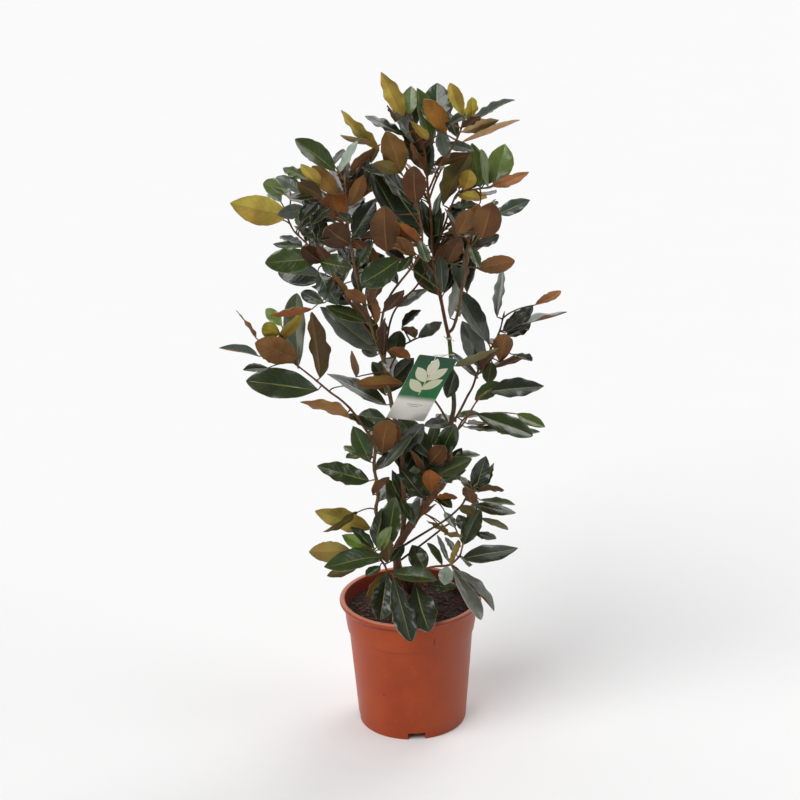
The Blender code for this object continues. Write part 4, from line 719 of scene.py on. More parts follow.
class Placing:
    """The leaves placed so far and everything that the next one stays clear of."""

    def __init__(self):
        self.stems = {name: Stem(name) for name in STEMS}
        self.placed = {name: [] for name in STEMS}
        self.obstacles, self.stem_obstacles = [], {}
        for name, stem in self.stems.items():
            radii = [radius + STEM_CLEARANCE for radius in stem.radii]
            sides = TRUNK_SIDES if name == LEADER else STEM_SIDES
            bar = tube(name + "_clearance", stem.points, radii, sides)
            piece = Obstacle(name, *mesh_of(bar))
            bpy.data.objects.remove(bar, do_unlink=True)
            piece.blade = piece
            self.stem_obstacles[name] = piece
            self.obstacles.append(piece)
        for name in ("pot", "soil", "plant_label", "label_loop", "stem_tie"):
            self.obstacles.append(Obstacle(name, *mesh_of(NODES[name])))

    def crossings(self, leaf, node):
        """How many other pieces the leaf would cut through, those on other nodes counted three times."""
        whole = Obstacle(node, *leaf.mesh(grow=LEAF_CLEARANCE))
        blade = Obstacle(node, *leaf.mesh(grow=LEAF_CLEARANCE, stalk=False))
        own_stem = self.stem_obstacles[node]
        count = 0
        for other in self.obstacles:
            mine, theirs = (blade, other.blade) if other.node == node else (whole, other)
            if mine.near(theirs) and mine.tree.overlap(theirs.tree):
                count += 1 if other.node == node else 3
        return count + bool(blade.near(own_stem) and blade.tree.overlap(own_stem.tree))

    def add(self, leaf, name):
        """Place a leaf, and keep the next ones clear of it."""
        whole = Obstacle(name, *leaf.mesh())
        whole.blade = Obstacle(name, *leaf.mesh(stalk=False))
        self.obstacles.append(whole)
        self.placed[name].append(leaf)

    def seen_leaves(self, table):
        """Every leaf of a table, moved along its line of sight until it is clear of what is there."""
        for name, rows in table.items():
            for row in rows:
                best, best_count = None, None
                for choice in tries():
                    leaf = leaf_from_picture(self.stems[name], row, *choice)
                    if leaf.length > LONGEST_LEAF:
                        continue
                    count = self.crossings(leaf, name)
                    if best is None or count < best_count:
                        best, best_count = leaf, count
                    if count == 0:
                        break
                self.add(best, name)

    def drawn_leaves(self, rule, make):
        """Leaves on each stem by a seeded rule, where there is room and the maker finds them fit."""
        draw = random.Random(rule["seed"])
        corners, triangles = [], []
        for leaf in [leaf for leaves in self.placed.values() for leaf in leaves]:
            more, faces = leaf.mesh()
            triangles += [tuple(index + len(corners) for index in face) for face in faces]
            corners += more
        tree = BVHTree.FromPolygons(corners, triangles)
        for name, count in rule["counts"].items():
            found = 0
            for _ in range(rule["tries"] * count):
                share, turn, rise, length, tilt = [draw.uniform(*rule[key]) for key in DRAWN]
                if found == count:
                    break
                turn, rise = math.radians(turn), math.radians(rise)
                root, stem_way, _ = self.stems[name].at(share)
                level = math.cos(rise)
                way = Vector((math.sin(turn) * level, math.cos(turn) * level, math.sin(rise)))
                base = root + (way * STALK_OUTWARD + stem_way * STALK_ONWARD).normalized() * rule["stalk"]
                up = Vector((0, 0, 1)) + way.cross(Vector((0, 0, 1))) * tilt
                leaf = make(draw, root, base, way, up, length, stem_way, tree)
                if leaf and not self.crossings(leaf, name):
                    self.add(leaf, name)
                    found += 1


def place_all_leaves():
    """The solids' leaves, placed again by the same rule, and then the ones that only the scene has."""
    placing = Placing()
    placing.seen_leaves(LEAVES)
    placing.drawn_leaves(HIDDEN, hidden_leaf)
    placing.seen_leaves(SMALL_LEAVES)
    placing.drawn_leaves(DEEP, deep_leaf)
    return placing.stems, placing.placed


def outward(mesh, weld=0.0):
    """Turn a mesh's faces outward, its corners welded first where asked."""
    shape = bmesh.new()
    shape.from_mesh(mesh)
    if weld:
        bmesh.ops.remove_doubles(shape, verts=shape.verts, dist=weld)
    bmesh.ops.recalc_face_normals(shape, faces=shape.faces)
    shape.to_mesh(mesh)
    shape.free()


def linked(thing):
    """Put an object in the scene."""
    bpy.context.scene.collection.objects.link(thing)
    return thing


def tube(name, points, radii, sides):
    """A round bar along a line of points, as a curve with a bevel, made a mesh with welded caps."""
    curve = bpy.data.curves.new(name, "CURVE")
    curve.dimensions = "3D"
    curve.bevel_depth = 1.0
    curve.bevel_resolution = (sides - 4) // 2
    curve.use_fill_caps = True
    line = curve.splines.new("POLY")
    line.points.add(len(points) - 1)
    for knot, point, radius in zip(line.points, points, radii):
        knot.co = (*point, 1)
        knot.radius = radius
    drawn = linked(bpy.data.objects.new(name + "_curve", curve))
    graph = bpy.context.evaluated_depsgraph_get()
    mesh = bpy.data.meshes.new_from_object(drawn.evaluated_get(graph))
    outward(mesh, 0.01 * MM)
    bpy.data.objects.remove(drawn, do_unlink=True)
    return linked(bpy.data.objects.new(name, mesh))


def wall_radius(height):
    """The outer radius of the pot's lower wall."""
    return BASE_RADIUS + 1.2 * MM + WALL_TAPER * height


def pot_outside():
    """The pot's outer outline, from under the lip down to the foot."""
    step_radius = wall_radius(STEP_HEIGHT) + STEP_DEPTH
    return [*COLLAR_OUTLINE, (step_radius, STEP_HEIGHT + 3 * MM), (step_radius - 0.4 * MM, STEP_HEIGHT),
            (wall_radius(STEP_HEIGHT), STEP_HEIGHT - 1.5 * MM), (BASE_RADIUS + 0.8 * MM, 2.5 * MM),
            (BASE_RADIUS, 0.0)]


def pot_inside():
    """The pot's inner outline, from its floor up to the lip."""
    return [(BASE_RADIUS - 2 * MM, FOOT_HEIGHT + WALL),
            (wall_radius(STEP_HEIGHT - 3 * MM) - WALL, STEP_HEIGHT - 3 * MM),
            (wall_radius(STEP_HEIGHT) + STEP_DEPTH - WALL, STEP_HEIGHT + 8 * MM), *COLLAR_INSIDE]


def radius_at(outline, height):
    """The radius of an outline at a height."""
    for (low_radius, low), (high_radius, high) in zip(outline, outline[1:]):
        if low <= height <= high:
            return low_radius + (high_radius - low_radius) * (height - low) / (high - low)
    return outline[-1][0]


def label_frame():
    """The label's top left corner and its two edges."""
    corner = sight(*LABEL_CORNER, LABEL_BEHIND * CM)
    right = sight(*LABEL_RIGHT, (LABEL_BEHIND + LABEL_RIGHT_BACK) * CM) - corner
    foot = sight(*LABEL_FOOT, (LABEL_BEHIND + LABEL_FOOT_BACK) * CM) - corner
    across = right.normalized()
    down = foot - across * foot.dot(across)
    return corner, across, right.length, down.normalized(), down.length


def loop_points(leader):
    """The label loop's centre line: through the hole, over the label's top edge and round the leader."""
    corner, across, width, down, height = label_frame()
    normal = across.cross(-down)
    reach = LOOP_RADIUS + LOOP_GAP + LABEL_THICKNESS / 2
    hole = corner + across * (width * LABEL_HOLE[0]) + down * (height * LABEL_HOLE[1])
    edge = corner + across * (width * LABEL_HOLE[0])
    middle, way, radius = leader.at(leader.nearest(sight(*LOOP_PLACE, 0)))
    toward = hole - middle
    toward = (toward - way * toward.dot(way)).normalized()
    side = way.cross(toward)
    ring = (radius + LOOP_RADIUS + LOOP_GAP) / math.cos(math.radians(20))
    front = [hole + normal * reach * 1.2, edge + normal * reach * 1.2,
             edge + normal * reach * 0.6 - down * reach * 1.3,
             edge - normal * reach * 0.6 - down * reach * 1.3, edge - normal * reach * 2]
    around = [middle + (toward * math.cos(angle) + side * math.sin(angle)) * ring
              for angle in (math.radians(80 + 40 * step) for step in range(6))]
    back = [hole - normal * reach * 4, hole - normal * reach * 1.2]
    return front + around + back


def linear(red, green, blue):
    """A screen colour, 0 to 255, as linear light."""
    return tuple((channel / 255 / 12.92 if channel <= 10 else ((channel / 255 + 0.055) / 1.055) ** 2.4)
                 for channel in (red, green, blue))


# The faces' colours: upper side and underside. The four grey upper tones, silver, steel, ash and pale, are
# painted reflection: the sheen of a glossy dark green face, painted into its colour.
UPPER_TONES = {
    "dark": linear(30, 42, 23), "green": linear(50, 68, 29), "moss": linear(72, 80, 44),
    "fresh": linear(60, 76, 30), "young": linear(78, 98, 34), "light": linear(108, 128, 52),
    # Painted reflection: silver, steel, ash and pale stand for the grey sheen of a glossy face
    "spring": linear(112, 140, 44), "silver": linear(62, 74, 62), "steel": linear(100, 108, 98),
    "ash": linear(140, 146, 138), "pale": linear(160, 172, 160), "lime": linear(140, 148, 50),
}
UNDER_TONES = {
    "dark_brown": linear(80, 54, 33), "brown": linear(104, 70, 38), "rust": linear(168, 104, 48),
    "orange": linear(146, 90, 40), "red_brown": linear(122, 76, 46), "tawny": linear(124, 86, 42),
    "clay": linear(146, 106, 64), "tan": linear(186, 130, 84), "amber": linear(144, 108, 50),
    "sand": linear(210, 178, 134), "ochre": linear(190, 138, 60), "golden": linear(194, 174, 80),
    "light_gold": linear(246, 208, 98), "dull_gold": linear(140, 122, 60), "olive": linear(120, 108, 54),
    "olive_brown": linear(92, 74, 40), "grey_green": linear(112, 116, 80), "lime": linear(200, 190, 66),
}
# Leaves whose colour stands out in the photograph, named by their tips
NOTABLE = {
    "dark": ((516, 513), (271, 187), (301, 293), (372, 526), (385, 175), (486, 456), (411, 642),
        (327, 374), (518, 548), (278, 273), (380, 168), (421, 200), (440, 256), (382, 508), (365, 116),
        (371, 172), (375, 200), (429, 632)),
    "green": ((400, 331), (326, 306), (353, 426), (533, 436), (246, 381), (361, 284), (317, 466),
        (437, 83), (437, 580), (412, 545), (358, 416), (501, 383), (462, 300)),
    "moss": ((472, 459), (386, 478), (488, 383), (297, 293)),
    "fresh": ((395, 497), (352, 268), (265, 263), (295, 139)),
    "young": ((392, 527),),
    "light": ((505, 144), (472, 143), (263, 184), (411, 86), (545, 427), (481, 149)),
    "spring": ((342, 535), (266, 309)),
    # Painted reflection: the leaves in the next four tones, silver to pale, show a glossy sheen painted into
    # their colour
    "silver": ((533, 306), (456, 290), (338, 305), (362, 348), (412, 436), (474, 151), (450, 351),
        (530, 200), (515, 100), (496, 190), (219, 348), (391, 98)),
    "steel": ((420, 500), (442, 322), (499, 235), (440, 128), (452, 262), (494, 611), (277, 215),
        (320, 307), (475, 250), (276, 177), (467, 245)),
    "ash": ((481, 620), (462, 321), (397, 307), (392, 452), (457, 268)),
    "pale": ((394, 106), (395, 502), (358, 141), (444, 585), (503, 268), (567, 312)),
    "dark_brown": ((381, 281), (302, 247), (326, 227), (461, 238), (409, 122), (317, 244), (371, 318),
        (350, 182)),
    "brown": ((492, 202), (414, 166), (371, 293), (384, 206), (365, 252)),
    "rust": ((330, 190),),
    "orange": ((457, 497), (430, 236), (369, 193), (397, 222), (430, 470), (268, 315)),
    "tawny": ((345, 290), (388, 420), (355, 383), (364, 175)),
    "clay": ((505, 334), (470, 209), (255, 343), (515, 261), (300, 402), (236, 310)),
    "tan": ((561, 291), (529, 172)),
    "sand": ((340, 135), (520, 120), (499, 120)),
    "amber": ((386, 131), (312, 166)),
    "ochre": ((424, 99),),
    "golden": ((411, 121), (230, 203), (381, 72), (450, 83), (301, 313), (341, 110), (301, 164),
        (315, 511)),
    "light_gold": ((470, 170), (487, 198)),
    "dull_gold": ((309, 552),),
    "lime": ((472, 97), (262, 328)),
    "olive": ((470, 153), (327, 576), (323, 532), (463, 505), (371, 163), (375, 163)),
    "olive_brown": ((312, 312), (297, 183), (488, 477), (388, 539)),
    "grey_green": ((508, 530), (499, 348)),
}
TONE_OF_TIP = {tip: tone for tone, tips in NOTABLE.items() for tip in tips}
LOW_LEAVES = 0.62
LEAF_SHADE = (0.76, 1.2)
BROWN_STALKS = 0.7
# Leaves with wavy edges that are broad near the tip, by their tips, with a share of the usual width
WAVY_LEAVES = {(411, 642): 0.8, (429, 632): 1.0, (380, 620): 1.12}
WAVY_TAPERS = (1.1, 0.72)
WAVY_RIPPLE = 0.15
WAVY_NOTCH = 2.6

# The fine blade: its rows and columns of corners, its section, and the limits that its form is drawn from
BROAD_SHARE = 0.56
BROADER = 0.07
ROWS = 22
COLUMNS = (-1.0, -0.93, -0.78, -0.55, -0.3, -0.09, 0.0, 0.09, 0.3, 0.55, 0.78, 0.93, 1.0)
LEAF_THICKNESS = 0.7 * MM
RIB_RISE = 0.8 * MM
RIB_REACH = 0.1
GROOVE = 0.25 * MM
TIP_HALF_WIDTH = 0.5 * MM
BLADE_SWAY = (-0.02, 0.02)
MORE_BOW = (-0.055, 0.0)
BLADE_TWIST = (-0.5, 0.5)
BASE_TAPER = (0.74, 0.94)
TIP_TAPER = (0.68, 0.96)
BLADE_FOLD = (0.06, 0.46)
BLADE_CUP = (-0.16, 0.1)
EDGE_ROLL = (0.02, 0.13)
EDGE_RIPPLE = (0.03, 0.13)
RIPPLE_SHARES = (0.6, 1.0, 1.6)
NOTCH_SHARES = (0.4, 0.8, 1.6)
WAVE_COUNTS = (2.2, 4.2)
WAVE_TURN = 6.28
EVEN_ROWS = 0.55
CROWDED_ROWS = 0.45
TWIST_PLACE = 0.35
EDGE_FADE = 0.6
RIB_FADE = 0.75
RIPPLE_REACH = 2.2
ROLL_START = 0.7
ROLL_STRENGTH = 8
# The margin's small notches: how deep, how close beside the waves, and how they are shifted
NOTCHES = ((0.022, 1.7, 2), (0.014, 3.1, 5))

# The fine stems and stalks, their joints and buds
STALK_SIDES = 8
STALK_RINGS = 7
STALK_RADIUS = 1.75 * MM
STALK_TAPER = 0.55 * MM
STALK_END = 0.05
STALK_END_SINK = 0.2
STALK_END_RADIUS = 0.5 * MM
STEM_STEP = 6 * MM
FINE_SIDES = 14
ROOT_SWELL = 3.5 * MM
FIRST_JOINT = (10, 24)
JOINT_SPACING = 21 * MM
JOINT_SWELL = 1.8 * MM
JOINT_SHARE = 0.35
SWELLING = 0.2
BUD_SIDES = 10
BUD_LENGTH = (10, 16)
BUD_FULLNESS = 1.25
BUD_LEAST = 1.9 * MM
BUD_SHARES = (0, 0.12, 0.3, 0.5, 0.7, 0.86, 0.96, 1.0)
BUD_PROFILE = (0.7, 0.95, 1.0, 0.88, 0.62, 0.36, 0.16, 0.04)
BUD = linear(126, 112, 70)
OLD_BARK = linear(96, 80, 60)
GREEN_BARK = linear(88, 96, 52)
TWIG = linear(112, 74, 50)
DARK_TWIG = linear(64, 56, 40)
DARK_STEMS = ("right_thin_stem", "right_thin_shoot")
# The diameter in millimetres from which bark turns old and how much thicker all of it is, the length in
# metres that its places along a stem are told in, where it is greenest, how far about, and how green
BARK_START = 3.5
BARK_REACH = 9
BARK_LENGTH = 0.1
GREEN_PLACE = 0.35
GREEN_REACH = 0.3
GREEN_SHARE = 0.45
LEFT_GREEN_SHARE = 0.15
# The leader's colours, by how far down the photograph
LEADER_TONES = (
    (300, linear(118, 72, 48)), (330, linear(122, 74, 50)), (336, linear(112, 78, 50)),
    (341, linear(88, 104, 50)), (356, linear(84, 102, 48)), (380, linear(74, 76, 50)),
    (410, linear(80, 72, 52)), (440, linear(108, 76, 54)), (500, linear(128, 88, 60)),
    (530, linear(118, 86, 62)), (632, linear(110, 82, 60)))

# The soil and its chips, whose measures are in millimetres
DETAIL_SEED = 71
SOIL_RINGS = 46
SOIL_SIDES = 150
SOIL_RELIEF = 2.2
SOIL_CRUMB = 0.8
CHIP_COUNT = 620
CHIP_ROUND = 6.2832
CHIP_TURN = 6.28
CHIP_TILT = 0.5
CHIP_REACH = 0.92
CHIP_SIZE = (1.6, 6.4)
CHIP_THICKNESS = (0.7, 2.0)
CHIP_CORNERS = (0, 1.0, 2.2, 3.1, 4.2, 5.3)
CHIP_SHADES = (linear(96, 54, 40), linear(76, 44, 34), linear(120, 70, 50), linear(54, 34, 28),
               linear(40, 28, 24))

# The label's print, in metres from its top left corner: leaves with their place, size, turn and colour, and
# two strokes with their level and half length
PRINTED_LEAVES = (
    (0.041, 0.026, (0.022, 0.0115), -1.57, (244, 240, 214)),
    (0.057, 0.042, (0.023, 0.0110), -0.85, (238, 234, 204)),
    (0.025, 0.047, (0.023, 0.0110), 0.85, (240, 236, 208)),
    (0.057, 0.068, (0.023, 0.0105), -0.7, (232, 230, 194)),
    (0.025, 0.075, (0.023, 0.0105), 0.7, (234, 232, 200)))
PRINTED_STROKES = ((0.1215, 0.017), (0.1260, 0.010))
VEIN_COUNT = 8.5
VEIN_WANDER = 1.1
# The shader's sockets that are set evenly
SOCKETS = {"specular": "Specular IOR Level", "coat": "Coat Weight", "coat_roughness": "Coat Roughness",
           "sheen": "Sheen Weight", "sheen_roughness": "Sheen Roughness", "sheen_tint": "Sheen Tint"}
# Tints that only an export may use, since these parts' materials don't read them
SOIL_TINT = (0.05, 0.03, 0.02)
LOOP_TINT = (0.7, 0.7, 0.7)
TWINE_TINT = (0.6, 0.5, 0.4)
WHITE = (1, 1, 1)
FLOOR_REACH = 60.0


def carry(mesh, name, values):
    """Store a number at each corner of a mesh, for its materials."""
    attribute = mesh.attributes.new(name, "FLOAT", "POINT")
    attribute.data.foreach_set("value", np.asarray(values, np.float32))


class Soup:
    """Corners, faces, materials and colours that are gathered into one mesh."""

    def __init__(self):
        self.corners, self.tints, self.along, self.across, self.seeds = [], [], [], [], []
        self.faces, self.kinds = [], []
        self.count = 0

    def add(self, corners, faces, kinds, tints, seed, along=0.0, across=0.0):
        """Take in one part with its faces' material numbers."""
        self.corners.append(np.asarray(corners, float))
        number = len(corners)
        self.tints.append(np.broadcast_to(np.asarray(tints, float), (number, 3)))
        self.along.append(np.broadcast_to(np.asarray(along, float), number))
        self.across.append(np.broadcast_to(np.asarray(across, float), number))
        self.seeds.append(np.full(number, seed))
        self.faces += [tuple(index + self.count for index in face) for face in faces]
        self.kinds += list(kinds)
        self.count += number

    def add_bar(self, points, radii, sides, tint, seed, kind=0, along=None):
        """Take in a round bar, with a colour and a place along it for each point where asked."""
        corners, faces = rings(points, radii, sides)
        tints = np.repeat(tint, sides, axis=0) if np.ndim(tint) > 1 else tint
        places = 0.0 if along is None else np.repeat(along, sides)
        self.add(corners, faces, [kind] * len(faces), tints, seed, places)

    def build(self, name, materials, sharp_angle=52):
        """The mesh object, smooth but for its sharp edges."""
        mesh = bpy.data.meshes.new(name)
        mesh.from_pydata(np.concatenate(self.corners).tolist(), [], self.faces)
        for material in materials:
            mesh.materials.append(material)
        mesh.polygons.foreach_set("material_index", np.array(self.kinds, np.int32))
        tint = mesh.attributes.new("tint", "FLOAT_COLOR", "POINT")
        colours = np.ones((self.count, 4), np.float32)
        colours[:, :3] = np.concatenate(self.tints)
        tint.data.foreach_set("color", colours.ravel())
        for label, values in (("along", self.along), ("across", self.across), ("seed", self.seeds)):
            carry(mesh, label, np.concatenate(values))
        mesh.shade_smooth()
        mesh.set_sharp_from_angle(angle=math.radians(sharp_angle))
        mesh.update()
        return linked(bpy.data.objects.new(name, mesh))


def unit(rows):
    """Each row made one long."""
    return rows / np.maximum(np.linalg.norm(rows, axis=-1, keepdims=True), 1e-12)


def blade_outline(leaf, draw, t):
    """Half the blade's width at each place along it, and whether the leaf is one of the wavy ones."""
    broad = leaf.width > BROAD_SHARE * leaf.length
    wavy = WAVY_LEAVES.get(leaf.row[2:4]) if leaf.row else None
    start, finish = draw.uniform(*BASE_TAPER), draw.uniform(*TIP_TAPER)
    start, finish = start + BROADER * broad, finish + BROADER * broad
    if wavy:
        start, finish = WAVY_TAPERS
    peak = start / (start + finish)
    shape = t ** start * (1 - t) ** finish / (peak ** start * (1 - peak) ** finish)
    fullness = wavy or (1.0 if broad else 1.05)
    half = np.maximum(leaf.width / 2 * shape * fullness, STALK_HALF_WIDTH * (1 - t))
    return np.maximum(half, TIP_HALF_WIDTH), wavy


def blade_faces(rows, wide):
    """Faces and material numbers of a closed blade: its upper grid of corners comes before its lower one."""
    lower = rows * wide
    faces, kinds = [], []
    for row in range(rows - 1):
        for column in range(wide - 1):
            a = row * wide + column
            b, c, d = a + 1, a + wide + 1, a + wide
            faces += [(a, b, c, d), (a + lower, d + lower, c + lower, b + lower)]
            kinds += [0, 1]
        left, right = row * wide, row * wide + wide - 1
        faces.append((left, left + wide, left + wide + lower, left + lower))
        faces.append((right, right + lower, right + wide + lower, right + wide))
        kinds += [0, 0]
    end = (rows - 1) * wide
    faces.append(tuple(range(0, wide)) + tuple(range(lower + wide - 1, lower - 1, -1)))
    faces.append(tuple(range(end + wide - 1, end - 1, -1)) + tuple(range(lower + end, lower + end + wide)))
    return faces, kinds + [1, 0]


def add_blade(soup, leaf, draw, upper, under):
    """The blade: a veined upper face, an underside with a raised rib, and the margin between."""
    even = np.linspace(0, 1, ROWS + 1)
    t = EVEN_ROWS * even + CROWDED_ROWS * (0.5 - 0.5 * np.cos(np.pi * even))
    base, tip, up = np.array(leaf.base), np.array(leaf.tip), np.array(leaf.up)
    sway = draw.uniform(*BLADE_SWAY) * leaf.length
    second = draw.uniform(*BLADE_SWAY) * leaf.length
    more_bow = draw.uniform(*MORE_BOW)
    bow = (LEAF_BOW + more_bow) * leaf.length * 4 * t * (1 - t) + second * np.sin(2 * np.pi * t)
    middle = (base + np.outer(t, tip - base) + np.outer(bow, up)
              + np.outer(sway * np.sin(np.pi * t) ** 2, np.array(leaf.side)))
    way = unit(np.gradient(middle, t, axis=0))
    ups = unit(up - way * (way @ up)[:, None])
    sides = np.cross(way, ups)
    twist = draw.uniform(*BLADE_TWIST) * (t - TWIST_PLACE)
    turned_up = ups * np.cos(twist)[:, None] + sides * np.sin(twist)[:, None]
    turned_side = np.cross(way, turned_up)
    half, wavy = blade_outline(leaf, draw, t)
    wave_count = draw.uniform(*WAVE_COUNTS)
    phases = [draw.uniform(0, WAVE_TURN) for _ in range(2)]
    fold, cup, roll = [draw.uniform(*limits) for limits in (BLADE_FOLD, BLADE_CUP, EDGE_ROLL)]
    ripple = draw.uniform(*EDGE_RIPPLE) * draw.choice(RIPPLE_SHARES)
    notch = draw.choice(NOTCH_SHARES)
    if wavy:
        ripple, notch = WAVY_RIPPLE, WAVY_NOTCH
    seed = draw.random()
    envelope = np.sin(np.pi * np.clip(t, 0.0, 1.0)) ** EDGE_FADE
    fade = 1 - RIB_FADE * t
    tops, bottoms = [], []
    for s in COLUMNS:
        size = abs(s)
        shift = phases[0] if s > 0 else phases[1]
        wave = ripple * np.sin(2 * np.pi * wave_count * t + shift) * size ** RIPPLE_REACH * envelope
        rolled = roll * max(0.0, size - ROLL_START) ** 2 * ROLL_STRENGTH
        lift = half * (fold * size + cup * size ** 2 - rolled + wave)
        edge = 1 + envelope * notch * sum(depth * np.sin(2 * np.pi * wave_count * pace * t + shift * turns)
                                          for depth, pace, turns in NOTCHES)
        place = middle + turned_side * (s * half * edge)[:, None]
        rib = max(0.0, 1 - (size / RIB_REACH) ** 2)
        tops.append(place + turned_up * (lift + LEAF_THICKNESS / 2 - GROOVE * rib * fade)[:, None])
        bottoms.append(place + turned_up * (lift - LEAF_THICKNESS / 2 - RIB_RISE * rib * fade)[:, None])
    corners = np.concatenate([np.array(grid).transpose(1, 0, 2).reshape(-1, 3) for grid in (tops, bottoms)])
    faces, kinds = blade_faces(len(t), len(COLUMNS))
    tints = np.repeat(np.array([upper, under]), len(t) * len(COLUMNS), axis=0)
    soup.add(corners, faces, kinds, tints, seed, np.tile(np.repeat(t, len(COLUMNS)), 2),
             np.tile(np.array(COLUMNS), len(t) * 2))


def band(first, sides):
    """The faces between the ring of corners that starts at a number and the ring after it."""
    return [(first + side, first + (side + 1) % sides,
             first + sides + (side + 1) % sides, first + sides + side) for side in range(sides)]


def flipped(faces):
    """Four-sided faces turned over."""
    return [(a, d, c, b) for a, b, c, d in faces]


def rings(points, radii, sides):
    """Corners and faces of a round bar with flat caps, its rings turned evenly along it."""
    points = np.array([tuple(point) for point in points])
    way = unit(np.gradient(points, axis=0))
    reference = np.array([1.0, 0.0, 0.0]) if abs(way[0][0]) < 0.8 else np.array([0.0, 1.0, 0.0])
    across = unit(reference - way[0] * (way[0] @ reference))
    angles = np.linspace(0, 2 * np.pi, sides, endpoint=False)
    corners = []
    for point, direction, radius in zip(points, way, radii):
        across = unit(across - direction * (direction @ across))
        other = np.cross(direction, across)
        corners.append(point + radius * (np.outer(np.cos(angles), across) + np.outer(np.sin(angles), other)))
    last = (len(points) - 1) * sides
    faces = [face for first in range(0, last, sides) for face in band(first, sides)]
    faces += [tuple(range(sides - 1, -1, -1)), tuple(range(last, last + sides))]
    return np.concatenate(corners), faces


def add_stalk(soup, leaf, draw, tint):
    """The leaf's stalk, from inside the stem to under the blade's start."""
    shares = np.linspace(0, 1, STALK_RINGS)
    points = [np.array(leaf.stalk(share)) for share in shares]
    points.append(np.array(leaf.rib(STALK_END)) - np.array(leaf.up) * STALK_END_SINK * MM)
    radii = list(STALK_RADIUS - STALK_TAPER * np.sin(shares * np.pi / 2)) + [STALK_END_RADIUS]
    soup.add_bar(points, radii, STALK_SIDES, tint, draw.random(), 2, np.linspace(0, 1, len(points)))


def leader_tint(points):
    """The leader's colour at each of its points, read by height."""
    heights = [sight(450, down, 3 * CM).z for down, _ in LEADER_TONES][::-1]
    shades = np.array([shade for _, shade in LEADER_TONES])[::-1]
    return np.stack([np.interp(points[:, 2], heights, shades[:, channel]) for channel in range(3)], axis=1)


def stem_tint(name, points, radii):
    """A stem's colour at each of its points: old bark where it is thick, greener where it is middling."""
    if name == LEADER:
        return leader_tint(points)
    plain = np.ones(len(points))
    if name in DARK_STEMS:
        return np.outer(plain, DARK_TWIG)
    size = np.clip((radii * 2 / MM - BARK_START) / BARK_REACH, 0, 1)
    middle = np.clip(1 - np.abs(size - GREEN_PLACE) / GREEN_REACH, 0, 1)[:, None]
    green = LEFT_GREEN_SHARE if name == "left_stem" else GREEN_SHARE
    tint = np.outer(1 - size, TWIG) + np.outer(size, OLD_BARK)
    return tint * (1 - green * middle) + np.outer(plain, GREEN_BARK) * green * middle


def add_stem(soup, name, leaves, draw):
    """The stem with a swelling at each leaf's root and a bud at its end."""
    points, lengths, radii = stem_line(name, STEM_STEP)
    points, lengths, radii = np.array([tuple(point) for point in points]), np.array(lengths), np.array(radii)
    swell = np.zeros(len(points))
    for leaf in leaves:
        gap = np.linalg.norm(points - np.array(leaf.root), axis=1)
        swell = np.maximum(swell, np.exp(-(gap / ROOT_SWELL) ** 2))
    for place in np.arange(draw.uniform(*FIRST_JOINT) * MM, lengths[-1], JOINT_SPACING):
        swell = np.maximum(swell, JOINT_SHARE * np.exp(-((lengths - place) / JOINT_SWELL) ** 2))
    tint = stem_tint(name, points, radii)
    radii_swollen = radii * (1 + SWELLING * swell)
    soup.add_bar(points, radii_swollen, FINE_SIDES, tint, draw.random(), 2, lengths / BARK_LENGTH)
    way = unit(points[-1] - points[-2])
    length = draw.uniform(*BUD_LENGTH) * MM
    thick = max(radii[-1] * BUD_FULLNESS, BUD_LEAST)
    line = points[-1] - way * 1 * MM + np.outer(BUD_SHARES, way) * length
    soup.add_bar(line, np.array(BUD_PROFILE) * thick, BUD_SIDES, BUD, draw.random(), 2, BUD_SHARES)


class Graph:
    """A node tree with short ways to add to it."""

    def __init__(self, tree):
        self.tree = tree

    def feed(self, socket, value):
        """Link a value to a socket, or set it there."""
        if isinstance(value, bpy.types.NodeSocket):
            self.tree.links.new(value, socket)
        else:
            socket.default_value = (*value, 1) if socket.type == "RGBA" else value

    def node(self, kind, inputs=None, **settings):
        """A shader node with its settings, values and links."""
        made = self.tree.nodes.new(kind)
        for key, value in settings.items():
            setattr(made, key, value)
        for key, value in (inputs or {}).items():
            self.feed(made.inputs[key], value)
        return made

    def read(self, name, output="Fac"):
        """A value that the mesh carries."""
        return self.node("ShaderNodeAttribute", attribute_name=name).outputs[output]

    def place(self):
        """The object's own coordinates, in metres."""
        return self.node("ShaderNodeTexCoord").outputs["Object"]

    def maths(self, operation, *values):
        """One step of arithmetic."""
        return self.node("ShaderNodeMath", dict(enumerate(values)), operation=operation).outputs[0]

    def times(self, first, second):
        """One value times another."""
        return self.maths("MULTIPLY", first, second)

    def plus(self, first, second):
        """One value and another."""
        return self.maths("ADD", first, second)

    def minus(self, first, second):
        """One value less another."""
        return self.maths("SUBTRACT", first, second)

    def size(self, value):
        """A value without its sign."""
        return self.maths("ABSOLUTE", value)

    def ramp(self, value, low, high, start=0.0, stop=1.0, smooth=True):
        """A value taken from one range to another."""
        inputs = {"Value": value, "From Min": low, "From Max": high, "To Min": start, "To Max": stop}
        kind = "SMOOTHSTEP" if smooth else "LINEAR"
        return self.node("ShaderNodeMapRange", inputs, interpolation_type=kind).outputs[0]

    def mix(self, share, first, second, blend="MIX"):
        """Two colours mixed."""
        inputs = {0: share, 6: first, 7: second}
        return self.node("ShaderNodeMix", inputs, data_type="RGBA", blend_type=blend).outputs[2]

    def weigh(self, colour, *channels):
        """A colour with its red, green and blue weighed."""
        return self.mix(1.0, colour, channels, "MULTIPLY")

    def grain(self, scale, detail=3.0, roughness=0.5, stretch=(1, 1, 1), offset=None):
        """Noise over the object's own coordinates."""
        inputs = {"Vector": self.place(), "Scale": stretch}
        if offset is not None:
            inputs["Location"] = self.node("ShaderNodeCombineXYZ", {"X": offset, "Y": offset}).outputs[0]
        mapped = self.node("ShaderNodeMapping", inputs).outputs[0]
        inputs = {"Vector": mapped, "Scale": scale, "Detail": detail, "Roughness": roughness}
        return self.node("ShaderNodeTexNoise", inputs).outputs[0]


